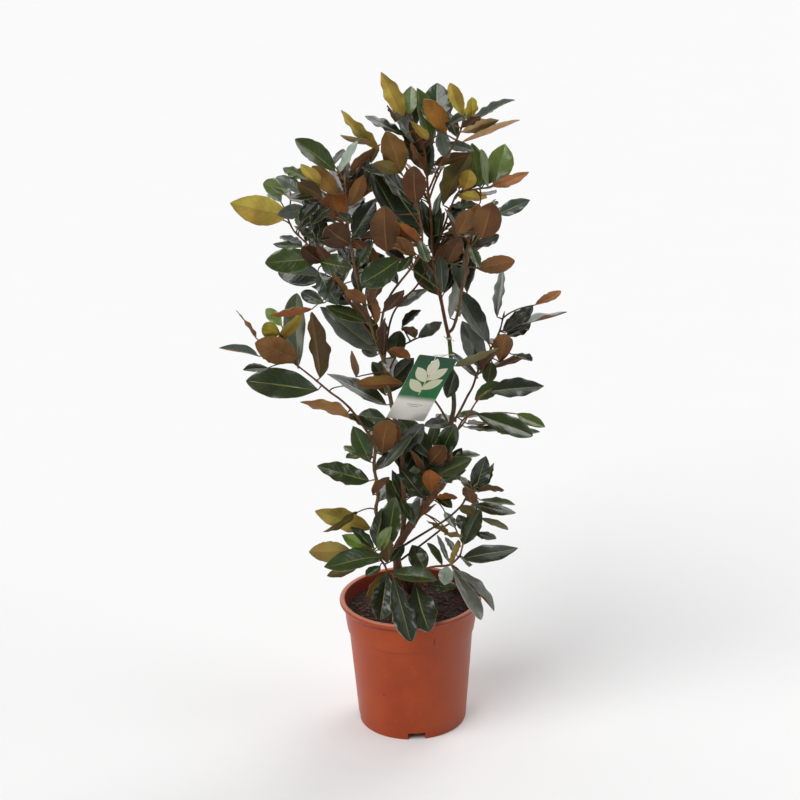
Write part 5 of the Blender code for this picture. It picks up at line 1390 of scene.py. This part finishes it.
class Look(Graph):
    """A material in the making, whose colour is laid on in coats."""

    def __init__(self, name):
        self.material = bpy.data.materials.new(name)
        self.material.use_nodes = True
        super().__init__(self.material.node_tree)
        self.colour = None

    def lay(self, share, shade):
        """Lay a colour over the ones below."""
        self.colour = self.mix(share, self.colour, shade)

    def weigh_down(self, share, *channels):
        """Weigh the channels of the colour so far, where a mask is."""
        self.lay(share, self.weigh(self.colour, *channels))

    def finish(self, roughness, height=None, strength=0.0, distance=0.0, **settings):
        """The finished material: colour, roughness, bump with its reach in millimetres and even settings."""
        shader = self.tree.nodes["Principled BSDF"]
        self.feed(shader.inputs["Base Color"], self.colour)
        self.feed(shader.inputs["Roughness"], roughness)
        if height is not None:
            inputs = {"Height": height, "Strength": strength, "Distance": distance * MM}
            self.feed(shader.inputs["Normal"], self.node("ShaderNodeBump", inputs).outputs[0])
        for name, value in settings.items():
            self.feed(shader.inputs[SOCKETS[name]], value)
        return self.material


def veins(look):
    """Masks over the blade: midrib, side veins, margin and the cushions between the veins."""
    along, across = look.read("along"), look.read("across")
    size = look.size(across)
    wander = look.maths("MULTIPLY_ADD", look.grain(60, 2), VEIN_WANDER, -VEIN_WANDER / 2)
    step = look.maths("MULTIPLY_ADD", along, VEIN_COUNT, wander)
    slant = look.times(look.maths("POWER", size, 1.3), 2.1)
    hand = look.times(look.maths("SIGN", across), 0.25)
    place = look.plus(look.minus(step, slant), look.plus(hand, look.read("seed")))
    part = look.size(look.minus(look.maths("FRACT", place), 0.5))
    side_vein = look.times(look.ramp(part, 0.0, 0.09, 1.0, 0.0), look.ramp(size, 0.98, 0.6))
    width = look.ramp(along, 0.0, 1.0, 0.075, 0.022, False)
    midrib = look.ramp(look.maths("DIVIDE", size, width), 0.5, 1.25, 1.0, 0.0)
    return midrib, side_vein, look.ramp(size, 0.955, 0.99), look.ramp(part, 0.0, 0.5)


def make_upper():
    """The glossy upper face: dark green with a pale yellow-green midrib and margin."""
    look = Look("leaf_upper")
    midrib, side_vein, margin, cushion = veins(look)
    tint = look.read("tint", "Color")
    patches, fine = look.grain(38, 3, 0.6), look.grain(620, 3, 0.65)
    look.colour = look.mix(look.ramp(patches, 0.35, 0.7), tint, look.weigh(tint, 0.62, 0.66, 0.6))
    look.lay(look.ramp(fine, 0.56, 0.78, 0.0, 0.2), linear(116, 126, 74))
    look.lay(look.ramp(fine, 0.46, 0.26, 0.0, 0.4), look.weigh(tint, 0.5, 0.54, 0.5))
    look.lay(look.times(side_vein, 0.08), linear(132, 142, 74))
    look.lay(look.ramp(cushion, 0.4, 1.0, 0.0, 0.12), look.weigh(tint, 0.7, 0.76, 0.7))
    look.lay(look.times(margin, 0.4), linear(150, 142, 66))
    look.lay(look.times(midrib, 0.5), linear(154, 162, 74))
    height = look.maths("MULTIPLY_ADD", cushion, 0.3, look.times(fine, 0.3))
    height = look.minus(height, look.times(side_vein, 0.25))
    return look.finish(look.ramp(patches, 0.3, 0.75, 0.3, 0.4), height, 0.5, 1.0,
                       specular=0.5, coat=0.55, coat_roughness=0.13)


def make_under():
    """The underside: rusty felt with a raised paler rib and fine side veins, with painted shade on one half
    and toward the blade's start.
    """
    look = Look("leaf_underside")
    midrib, side_vein, margin, cushion = veins(look)
    tint, seed, across = look.read("tint", "Color"), look.read("seed"), look.read("across")
    felt, patches = look.grain(1400, 3, 0.7), look.grain(20, 3, 0.55)
    redder = look.grain(26, 2, 0.5, offset=seed)
    look.colour = look.mix(look.ramp(patches, 0.35, 0.7), look.weigh(tint, 1.14, 1.12, 1.06),
                           look.weigh(tint, 0.62, 0.6, 0.58))
    look.weigh_down(look.ramp(redder, 0.48, 0.66, 0.0, 0.75), 1.06, 0.8, 0.66)
    look.weigh_down(look.ramp(redder, 0.46, 0.32, 0.0, 0.6), 0.92, 1.06, 0.8)
    # Painted shade: one half of the blade, chosen by the leaf's seed, darker, as where a folded leaf turns
    # from the light
    hand = look.maths("SIGN", look.minus(seed, 0.5))
    look.weigh_down(look.ramp(look.times(across, hand), -0.06, 0.06, 0.0, 0.6), 0.66, 0.56, 0.54)
    # Painted shade: darker toward the blade's start, where the leaf lies in shadow
    look.weigh_down(look.ramp(look.read("along"), 0.3, 0.0, 0.0, 0.4), 0.6, 0.62, 0.56)
    look.weigh_down(look.ramp(felt, 0.3, 0.75, 0.0, 0.3), 1.5, 1.5, 1.45)
    look.lay(look.times(side_vein, 0.13), look.weigh(tint, 1.6, 1.55, 1.45))
    look.weigh_down(look.ramp(cushion, 0.5, 1.0, 0.0, 0.1), 0.62, 0.58, 0.56)
    look.lay(look.times(look.ramp(across, 0.9, 0.99), 0.35), linear(70, 52, 32))
    look.lay(look.times(margin, 0.12), linear(150, 120, 74))
    look.lay(look.times(midrib, 0.45), linear(156, 116, 68))
    height = look.plus(look.times(felt, 0.4), look.times(side_vein, 0.35))
    return look.finish(0.7, height, 0.55, 1.2, specular=0.3, sheen=0.05, sheen_roughness=0.5,
                       sheen_tint=linear(220, 180, 130))


def make_bark():
    """Bark: fine felt on twigs, ridges and pale specks on the older wood."""
    look = Look("bark")
    tint = look.read("tint", "Color")
    ridges = look.grain(260, 4, 0.65, (1, 1, 0.3))
    specks = look.node("ShaderNodeTexVoronoi", {"Vector": look.place(), "Scale": 420.0}).outputs[0]
    look.colour = look.mix(look.ramp(ridges, 0.3, 0.72), look.weigh(tint, 0.56, 0.53, 0.5),
                           look.weigh(tint, 1.45, 1.42, 1.35))
    look.lay(look.ramp(specks, 0.22, 0.1, 0.0, 0.5), linear(168, 148, 112))
    look.lay(look.ramp(look.grain(40, 2), 0.5, 0.72, 0.0, 0.5), look.weigh(tint, 0.6, 0.72, 0.6))
    height = look.plus(ridges, look.ramp(specks, 0.25, 0.1, 0.0, 0.4))
    return look.finish(look.ramp(ridges, 0.2, 0.8, 0.6, 0.9), height, 0.7, 0.9, specular=0.35)


def smudge(look, place, mark):
    """A mask over a dark mark on the front of the pot's wall."""
    across, height, half_width, half_height = mark
    u = look.maths("DIVIDE", look.minus(place["X"], across), half_width)
    v = look.maths("DIVIDE", look.minus(place["Z"], height), half_height)
    inside = look.ramp(look.plus(look.times(u, u), look.times(v, v)), 0.4, 1.2, 1.0, 0.0)
    return look.times(inside, look.maths("LESS_THAN", place["Y"], 0.0))


def make_plastic():
    """Moulded terracotta plastic: mottled, with a few marks; paler on top of the lip (painted highlight),
    darker inside (painted shade) and greyer on the right side (painted sheen).
    """
    look = Look("terracotta_plastic")
    spot = look.place()
    place = look.node("ShaderNodeSeparateXYZ", {"Vector": spot}).outputs
    height = place["Z"]
    clouds, dabs, speck = look.grain(9, 4, 0.6), look.grain(70, 3, 0.55), look.grain(700, 2, 0.6)
    look.colour = look.mix(look.ramp(clouds, 0.3, 0.72), linear(158, 62, 26), linear(173, 73, 32))
    broad = look.grain(5, 2, 0.5, (1, 1, 0.4), 3.0)
    look.lay(look.ramp(broad, 0.42, 0.66, 0.0, 0.5), linear(142, 56, 26))
    look.lay(look.ramp(dabs, 0.6, 0.74, 0.0, 0.12), linear(196, 104, 62))
    look.lay(look.ramp(speck, 0.68, 0.8, 0.0, 0.2), linear(202, 132, 98))
    # Painted sheen: a paler, greyer right side, where the wall reflects the light
    look.lay(look.ramp(place["X"], 0.03, 0.13, 0.0, 0.32), linear(146, 98, 82))
    look.lay(look.ramp(look.grain(500, 2), 0.68, 0.8, 0.0, 0.35), linear(104, 46, 28))
    for mark in (WALL_MARK, WALL_SPOT):
        look.lay(look.times(smudge(look, place, mark), 0.8), linear(74, 40, 30))
    # Painted highlight: a pale band along the top of the lip
    lip = look.times(look.ramp(height, 0.2588, 0.2618), look.ramp(clouds, 0.2, 0.6, 0.45, 0.7))
    look.lay(lip, linear(208, 146, 122))
    # Painted shade: the inner wall below the lip darker, where it lies in shade
    facing = look.node("ShaderNodeNewGeometry").outputs["Normal"]
    out = look.node("ShaderNodeVectorMath", {0: facing, 1: spot}, operation="DOT_PRODUCT").outputs["Value"]
    inside = look.times(look.ramp(out, 0.02, -0.05), look.ramp(height, 0.2590, 0.2540))
    look.lay(look.times(inside, 0.8), linear(132, 56, 46))
    foot = look.times(look.ramp(height, 0.03, 0.0, 0.0, 0.4), look.ramp(clouds, 0.4, 0.7))
    look.lay(foot, linear(128, 70, 48))
    roughness = look.ramp(clouds, 0.3, 0.7, 0.34, 0.46)
    return look.finish(roughness, look.plus(speck, dabs), 0.12, 0.6, specular=0.24)


def make_earth():
    """Potting soil: dark crumbs."""
    look = Look("potting_mix")
    crumbs = look.grain(180, 6, 0.7)
    look.colour = look.mix(look.ramp(crumbs, 0.3, 0.7), linear(20, 13, 11), linear(60, 40, 31))
    look.lay(look.ramp(look.grain(420, 3), 0.62, 0.74, 0.0, 0.5), linear(104, 72, 54))
    return look.finish(look.ramp(crumbs, 0.2, 0.8, 0.85, 1.0), crumbs, 0.9, 3.0)


def make_chip():
    """Reddish bark chips."""
    look = Look("bark_chip")
    tint = look.read("tint", "Color")
    lines = look.grain(300, 4, 0.6, (1, 4, 1))
    look.colour = look.mix(look.ramp(lines, 0.3, 0.7), look.weigh(tint, 0.55, 0.5, 0.5),
                           look.weigh(tint, 1.3, 1.3, 1.25))
    return look.finish(look.ramp(lines, 0.3, 0.7, 0.75, 0.95), lines, 0.8, 0.8)


def printed_leaf(look, across, down, place, size, turn):
    """A mask that is one inside a pointed leaf on the label."""
    x, y = look.minus(across, place[0]), look.minus(down, place[1])
    cosine, sine = math.cos(turn), math.sin(turn)
    u = look.maths("DIVIDE", look.plus(look.times(x, cosine), look.times(y, sine)), size[0])
    v = look.maths("DIVIDE", look.minus(look.times(y, cosine), look.times(x, sine)), size[1])
    return look.ramp(look.plus(look.size(v), look.times(u, u)), 0.97, 1.03, 1.0, 0.0)


def make_card():
    """The label's print: a green field that fades to a pale foot, with a spray of plain leaves."""
    look = Look("label_print")
    across, down, front = look.read("across"), look.read("along"), look.read("seed")
    soft = look.grain(30, 3, 0.5)
    look.colour = look.mix(look.ramp(down, 0.0, 0.1), linear(18, 74, 44), linear(40, 122, 66))
    look.lay(look.ramp(soft, 0.35, 0.7, 0.0, 0.45), linear(14, 66, 40))
    for x, y, size, turn, shade in PRINTED_LEAVES:
        look.lay(look.times(printed_leaf(look, across, down, (x, y), size, turn), 0.85), linear(*shade))
    middle = look.size(look.minus(across, 0.041))
    ends = look.times(look.ramp(down, 0.03, 0.032), look.ramp(down, 0.098, 0.096))
    look.lay(look.times(look.ramp(middle, 0.0007, 0.0011, 1.0, 0.0), ends), linear(214, 214, 170))
    paper = look.mix(look.ramp(soft, 0.3, 0.7), linear(255, 253, 246), linear(250, 246, 236))
    look.lay(look.ramp(down, 0.098, 0.116), paper)
    for level, reach in PRINTED_STROKES:
        gap = look.size(look.minus(down, level))
        ends = look.ramp(look.size(look.minus(across, 0.044)), reach - 0.0005, reach, 1.0, 0.0)
        stroke = look.times(look.ramp(gap, 0.0003, 0.0008, 1.0, 0.0), ends)
        look.lay(look.times(stroke, 0.75), linear(84, 84, 80))
    look.colour = look.mix(front, linear(226, 222, 208), look.colour)
    return look.finish(look.ramp(soft, 0.3, 0.7, 0.28, 0.4), soft, 0.1, 1.0)


def make_twine():
    """Pale twisted twine."""
    look = Look("twine")
    fibres = look.grain(1500, 3, 0.6)
    look.colour = look.mix(look.ramp(fibres, 0.3, 0.7), linear(190, 178, 152), linear(242, 236, 218))
    return look.finish(look.ramp(fibres, 0.3, 0.7, 0.8, 0.95), fibres, 0.8, 0.5)


def make_strap():
    """The loop's pale plastic."""
    look = Look("loop_plastic")
    clouds = look.grain(160, 2)
    look.colour = look.mix(clouds, linear(206, 212, 200), linear(228, 230, 220))
    return look.finish(look.ramp(clouds, 0.3, 0.7, 0.3, 0.42))


def make_paper():
    """The pale floor."""
    look = Look("floor_paper")
    look.colour = look.mix(look.grain(3, 2), linear(246, 246, 246), linear(244, 244, 244))
    return look.finish(0.9, specular=0.2)


def circle(radius, height, sides):
    """Corners of a level ring."""
    turns = [2 * math.pi * side / sides for side in range(sides)]
    return [(radius * math.cos(turn), radius * math.sin(turn), height) for turn in turns]


def turned_mesh(name, outline, steps):
    """A turned shape, with the modifier that turns it."""
    mesh = bpy.data.meshes.new(name)
    count = len(outline)
    edges = [(index, index + 1) for index in range(count - 1)]
    mesh.from_pydata([(radius, 0, height) for radius, height in outline], edges, [])
    thing = linked(bpy.data.objects.new(name, mesh))
    screw = thing.modifiers.new("Turn", "SCREW")
    screw.steps = screw.render_steps = steps
    screw.use_merge_vertices = True
    screw.merge_threshold = AXIS_WELD
    screw.use_normal_calculate = True
    return thing


def cut_away(thing, cutters):
    """Take the cutters' shapes out of an object, apply its modifiers and delete the cutters."""
    for cutter in cutters:
        boolean = thing.modifiers.new("Cut", "BOOLEAN")
        boolean.operation = "DIFFERENCE"
        boolean.solver = "EXACT"
        boolean.object = cutter
    graph = bpy.context.evaluated_depsgraph_get()
    mesh = bpy.data.meshes.new_from_object(thing.evaluated_get(graph))
    thing.modifiers.clear()
    thing.data = mesh
    mesh.name = thing.name
    for cutter in cutters:
        bpy.data.objects.remove(cutter, do_unlink=True)


def smooth_outline(corners, radius, steps=4):
    """An outline whose inner corners are rounded."""
    line = [corners[0]]
    for before, corner, after in zip(corners, corners[1:], corners[2:]):
        before, corner, after = (np.array(point, float) for point in (before, corner, after))
        to_start, to_end = before - corner, after - corner
        reach = min(radius, 0.45 * np.linalg.norm(to_start), 0.45 * np.linalg.norm(to_end))
        start, end = corner + unit(to_start) * reach, corner + unit(to_end) * reach
        for step in range(steps + 1):
            t = step / steps
            line.append(tuple(start * (1 - t) ** 2 + corner * 2 * t * (1 - t) + end * t * t))
    return line + [corners[-1]]


def finish_mesh(thing, material, angle):
    """Smooth shading and one material."""
    mesh = thing.data
    mesh.materials.clear()
    mesh.materials.append(material)
    mesh.polygons.foreach_set("material_index", np.zeros(len(mesh.polygons), np.int32))
    mesh.shade_smooth()
    mesh.set_sharp_from_angle(angle=math.radians(angle))


def foot_places(count, offset, radius):
    """Angles and places of the notches or drain holes round the foot."""
    for index in range(count):
        angle = math.radians(-90) + NOTCH_TURN + (index + offset) * 2 * math.pi / count
        yield angle, Vector((math.cos(angle), math.sin(angle), 0)) * radius


def build_pot():
    """The pot: rounded lip, collar, foot with notches and drain holes."""
    lip_middle, lip_height = RIM_RADIUS - LIP_ROLL, POT_HEIGHT - LIP_ROLL
    lip = [(lip_middle + LIP_ROLL * math.cos(math.radians(angle)),
            lip_height + LIP_ROLL * math.sin(math.radians(angle)))
           for angle in range(90, LIP_BOTTOM - 1, -12)]
    outer = smooth_outline([lip[-1]] + pot_outside(), OUTER_ROUNDING)
    underside = [(BASE_RADIUS - FOOT_WIDTH, 0.0), (BASE_RADIUS - FOOT_WIDTH - 1 * MM, FOOT_HEIGHT),
                 (BOSS_RADIUS + 2 * MM, FOOT_HEIGHT), (BOSS_RADIUS, 0.0), (0.0, 0.0)]
    inner = smooth_outline([(0.0, FOOT_HEIGHT + WALL)] + pot_inside(), INNER_ROUNDING)
    pot = turned_mesh("pot_shell", inner + lip + outer[1:] + underside, POT_STEPS)
    cutters = []
    for angle, place in foot_places(NOTCH_COUNT, 0, BASE_RADIUS - 2 * MM):
        bpy.ops.mesh.primitive_cube_add(size=1)
        notch = bpy.context.object
        notch.scale = (NOTCH_DEPTH, NOTCH_WIDTH, 2 * FOOT_HEIGHT)
        notch.rotation_euler = (0, 0, angle)
        notch.location = place
        cutters.append(notch)
    for _, place in foot_places(DRAIN_COUNT, 0.5, DRAIN_CIRCLE):
        bpy.ops.mesh.primitive_cylinder_add(vertices=24, radius=DRAIN_RADIUS, depth=CUTTER_LENGTH)
        hole = bpy.context.object
        hole.location = place
        hole.location.z = FOOT_HEIGHT + WALL / 2
        cutters.append(hole)
    cut_away(pot, cutters)
    finish_mesh(pot, make_plastic(), 40)
    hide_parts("pot")
    return pot


def rough(x, y):
    """A gentle uneven height between about -1 and 1."""
    return (math.sin(x * 61) * math.cos(y * 53) * 0.5 + math.sin(x * 143 + y * 97) * 0.25
            + math.cos(x * 211 - y * 187) * 0.25)


def add_chip(soup, draw, rim, top):
    """A flat six-sided chip of bark, somewhere on the soil."""
    angle, radius = draw.uniform(0, CHIP_ROUND), rim * math.sqrt(draw.uniform(0.0, CHIP_REACH))
    x, y = radius * math.cos(angle), radius * math.sin(angle)
    size = draw.uniform(*CHIP_SIZE) * MM
    thick = draw.uniform(*CHIP_THICKNESS) * MM
    turn = Matrix.Rotation(draw.uniform(0, CHIP_TURN), 3, "Z")
    turn = turn @ Matrix.Rotation(draw.uniform(-CHIP_TILT, CHIP_TILT), 3, "X")
    centre = Vector((x, y, top + rough(x, y) * SOIL_RELIEF * MM + thick * 0.5))
    outline = [(math.cos(place) * size * draw.uniform(0.7, 1.1),
                math.sin(place) * size * 0.5 * draw.uniform(0.7, 1.1)) for place in CHIP_CORNERS]
    piece = [centre + turn @ Vector((u, v, level)) for level in (-thick, thick * 0.6) for u, v in outline]
    faces = band(0, 6) + [(5, 4, 3, 2, 1, 0), (6, 7, 8, 9, 10, 11)]
    shade = draw.choice(CHIP_SHADES)
    soup.add([tuple(point) for point in piece], faces, [1] * len(faces), shade, draw.random())


def build_soil():
    """The soil: an uneven crumbly top on a plain filling, with bark chips lying on it."""
    draw = random.Random(DETAIL_SEED)
    top = POT_HEIGHT - SOIL_BELOW_RIM
    inside = pot_inside()
    rim = radius_at(inside, top) - CLEARANCE
    corners = [(0.0, 0.0, top)]
    for ring in range(1, SOIL_RINGS + 1):
        fade = 1 - (ring / SOIL_RINGS) ** 8 * 0.6
        for x, y, _ in circle(rim * (ring / SOIL_RINGS) ** 0.9, top, SOIL_SIDES):
            height = (rough(x, y) * SOIL_RELIEF + draw.uniform(-SOIL_CRUMB, SOIL_CRUMB)) * MM * fade
            corners.append((x, y, top + height))
    faces = [(0, 1 + side, 1 + (side + 1) % SOIL_SIDES) for side in range(SOIL_SIDES)]
    levels = [(radius - CLEARANCE, height) for radius, height in reversed(inside[1:])
              if height < top - 1 * MM]
    levels.append((inside[0][0] - CLEARANCE, FOOT_HEIGHT + WALL + CLEARANCE))
    for radius, height in levels:
        corners += circle(radius, height, SOIL_SIDES)
    for ring in range(SOIL_RINGS - 1 + len(levels)):
        faces += flipped(band(1 + ring * SOIL_SIDES, SOIL_SIDES))
    faces.append(tuple(range(len(corners) - 1, len(corners) - 1 - SOIL_SIDES, -1)))
    soup = Soup()
    soup.add(corners, faces, [0] * len(faces), SOIL_TINT, 0.5)
    for _ in range(CHIP_COUNT):
        add_chip(soup, draw, rim, top)
    soil = soup.build("potting_soil_top", (make_earth(), make_chip()), 30)
    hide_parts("soil")
    return soil


def build_label():
    """The label card: round corners, a punched hole, and the print's coordinates on its faces."""
    corner, across, width, down, height = label_frame()
    normal = across.cross(-down)
    right, foot = width - LABEL_ROUNDING, height - LABEL_ROUNDING
    outline = []
    for x, y, start in ((right, LABEL_ROUNDING, -90), (right, foot, 0), (LABEL_ROUNDING, foot, 90),
                        (LABEL_ROUNDING, LABEL_ROUNDING, 180)):
        for angle in [math.radians(start + step * 15) for step in range(7)]:
            outline.append((x + LABEL_ROUNDING * math.cos(angle), y + LABEL_ROUNDING * math.sin(angle)))
    count = len(outline)
    half = LABEL_THICKNESS / 2
    corners = [corner + across * x + down * y + normal * level
               for level in (-half, half) for x, y in outline]
    faces = [tuple(range(count)), tuple(range(2 * count - 1, count - 1, -1))] + flipped(band(0, count))
    mesh = bpy.data.meshes.new("label_card")
    mesh.from_pydata([tuple(point) for point in corners], [], faces)
    label = linked(bpy.data.objects.new("label_card", mesh))
    outward(mesh)
    bpy.ops.mesh.primitive_cylinder_add(vertices=40, radius=LABEL_HOLE_RADIUS, depth=CUTTER_LENGTH)
    hole = bpy.context.object
    hole_place = corner + across * (width * LABEL_HOLE[0]) + down * (height * LABEL_HOLE[1])
    hole.matrix_world = (Matrix.Translation(hole_place)
                         @ Matrix((across, -down, normal)).transposed().to_4x4())
    cut_away(label, [hole])
    places = [point.co - corner for point in label.data.vertices]
    carry(label.data, "across", [place.dot(across) for place in places])
    carry(label.data, "along", [place.dot(down) for place in places])
    carry(label.data, "seed", [1.0 if place.dot(normal) > 0 else 0.0 for place in places])
    finish_mesh(label, make_card(), 30)
    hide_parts("plant_label")
    return label


def build_loop(leader):
    """The label's loop, smoothed."""
    line = loop_points(leader)
    closed = line + line[:3]
    smooth = []
    for before, start, stop, after in zip([line[-1]] + closed, closed, closed[1:], closed[2:]):
        smooth += [curve_point(before, start, stop, after, step / LOOP_STEPS) for step in range(LOOP_STEPS)]
    smooth = smooth[:len(line) * LOOP_STEPS + 2]
    soup = Soup()
    soup.add_bar(smooth, [LOOP_RADIUS] * len(smooth), 10, LOOP_TINT, 0.5)
    loop = soup.build("label_loop_strand", (make_strap(),))
    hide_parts("label_loop")
    return loop


def build_tie(leader):
    """Three turns of twine with a knot and two short ends."""
    middle, way, radius = leader.at(leader.nearest(sight(449, TIE_DOWN, 0)))
    side = way.orthogonal().normalized()
    other = way.cross(side)
    reach = radius + CLEARANCE + TWINE_RADIUS * 0.9
    line = []
    for step in range(int(TWINE_TURNS * TWINE_STEPS) + 1):
        angle = 2 * math.pi * step / TWINE_STEPS
        rise = (step / (TWINE_TURNS * TWINE_STEPS) - 0.5) * TWINE_HEIGHT * MM
        line.append(middle + way * rise + (side * math.cos(angle) + other * math.sin(angle)) * reach)
    toward = EYE - middle
    toward = (toward - way * toward.dot(way)).normalized()
    knot = middle + toward * (radius + CLEARANCE + TWINE_RADIUS * 1.6)
    cross = way.cross(toward)
    soup = Soup()
    soup.add_bar(line, [TWINE_RADIUS] * len(line), 8, TWINE_TINT, 0.1)
    for hand in (-1, 1):
        end = [knot + cross * hand * aside * MM - way * drop * hand * MM + toward * out * MM
               for aside, drop, out in TWINE_END]
        soup.add_bar(end, [TWINE_RADIUS * 0.9] * len(end), 8, TWINE_TINT, 0.3)
    lump = [knot + cross * offset * MM + toward * bulge * MM for offset, bulge, _ in KNOT]
    soup.add_bar(lump, [thick * MM for _, _, thick in KNOT], 10, TWINE_TINT, 0.7)
    tie = soup.build("twine_tie", (make_twine(),))
    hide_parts("stem_tie")
    return tie


def tones(leaf, draw):
    """The colours of a leaf's two sides."""
    face = leaf.row[5] if leaf.row else "U"
    named = TONE_OF_TIP.get(leaf.row[2:4]) if leaf.row else None
    usual = ("green", "green", "dark") if leaf.base.z < LOW_LEAVES else ("dark", "dark", "green")
    upper = {"G": "young", "Y": "young"}.get(face) or draw.choice(usual)
    usual = ("brown", "orange", "brown", "dark_brown")
    under = {"G": "olive", "Y": "dull_gold"}.get(face) or draw.choice(usual)
    upper = named if named in UPPER_TONES else upper
    under = named if named in UNDER_TONES else under
    shade = draw.uniform(*LEAF_SHADE)
    return [tuple(channel * shade for channel in tone) for tone in (UPPER_TONES[upper], UNDER_TONES[under])]


def build_foliage(placed):
    """One piece for each stem with its leaves."""
    materials = (make_upper(), make_under(), make_bark())
    made = []
    for number, name in enumerate(STEMS):
        draw = random.Random(DETAIL_SEED * 100 + number)
        soup = Soup()
        add_stem(soup, name, placed[name], draw)
        for leaf in placed[name]:
            upper, under = tones(leaf, draw)
            stalk_tint = TWIG if draw.random() < BROWN_STALKS else GREEN_BARK
            add_blade(soup, leaf, draw, upper, under)
            add_stalk(soup, leaf, draw, stalk_tint)
        piece = soup.build(name + "_foliage", materials)
        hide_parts(name)
        made.append(piece)
    return made


def build_camera():
    """The photograph's view."""
    data = bpy.data.cameras.new("photo_view")
    data.sensor_width = SENSOR_WIDTH
    data.lens = FOCAL_PIXELS * SENSOR_WIDTH / (2 * PICTURE_MIDDLE)
    camera = linked(bpy.data.objects.new("photo_view", data))
    right0, up0 = Vector((1, 0, 0)), Vector((0, math.sin(PITCH_DOWN), math.cos(PITCH_DOWN)))
    forward = Vector((0, math.cos(PITCH_DOWN), -math.sin(PITCH_DOWN)))
    right = right0 * math.cos(ROLL) + up0 * math.sin(ROLL)
    up = up0 * math.cos(ROLL) - right0 * math.sin(ROLL)
    camera.matrix_world = Matrix.Translation(EYE) @ Matrix((right, up, -forward)).transposed().to_4x4()
    bpy.context.scene.camera = camera


def far_light(name, place, strength, spread_angle):
    """A wide soft light from a direction, even over the whole floor."""
    data = bpy.data.lights.new(name, "SUN")
    data.energy = strength
    data.angle = math.radians(spread_angle)
    light = linked(bpy.data.objects.new(name, data))
    light.location = place
    light.rotation_euler = (-Vector(place)).to_track_quat("-Z", "Y").to_euler()


def build_stage():
    """Pale floor, white surroundings and soft lights."""
    mesh = bpy.data.meshes.new("studio_floor")
    corners = [(-FLOOR_REACH, -FLOOR_REACH, 0), (FLOOR_REACH, -FLOOR_REACH, 0),
               (FLOOR_REACH, FLOOR_REACH, 0), (-FLOOR_REACH, FLOOR_REACH, 0)]
    mesh.from_pydata(corners, [], [(0, 1, 2, 3)])
    floor = linked(bpy.data.objects.new("studio_floor", mesh))
    mesh.materials.append(make_paper())
    world = bpy.data.worlds.new("studio")
    bpy.context.scene.world = world
    world.use_nodes = True
    graph = Graph(world.node_tree)
    back = graph.tree.nodes["Background"]
    graph.feed(back.inputs["Color"], WHITE)
    way = graph.node("ShaderNodeTexCoord").outputs["Generated"]
    behind = graph.node("ShaderNodeSeparateXYZ", {"Vector": way}).outputs["Y"]
    graph.feed(back.inputs["Strength"], graph.ramp(behind, -0.3, 0.9, 0.1, 0.85))
    bright = graph.node("ShaderNodeBackground", {"Color": WHITE, "Strength": 1.0}).outputs[0]
    camera_ray = graph.node("ShaderNodeLightPath").outputs["Is Camera Ray"]
    both = graph.node("ShaderNodeMixShader", {0: camera_ray, 1: back.outputs[0], 2: bright}).outputs[0]
    graph.feed(graph.tree.nodes["World Output"].inputs["Surface"], both)
    far_light("key", (-2.6, -2.2, 3.6), 2.05, 45)
    far_light("rim", (1.8, 2.4, 3.0), 0.7, 35)
    far_light("side", (3.4, -0.6, 2.0), 0.5, 40)


def main():
    """Build every piece, set it on the root body, and add the camera and the stage."""
    bpy.context.scene.view_settings.view_transform = "Standard"
    build_camera()
    stems, placed = place_all_leaves()
    leader = stems[LEADER]
    pieces = build_foliage(placed)
    pieces += [build_pot(), build_soil(), build_label(), build_loop(leader), build_tie(leader)]
    for piece in pieces:
        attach(piece, "root")
    build_stage()


main()
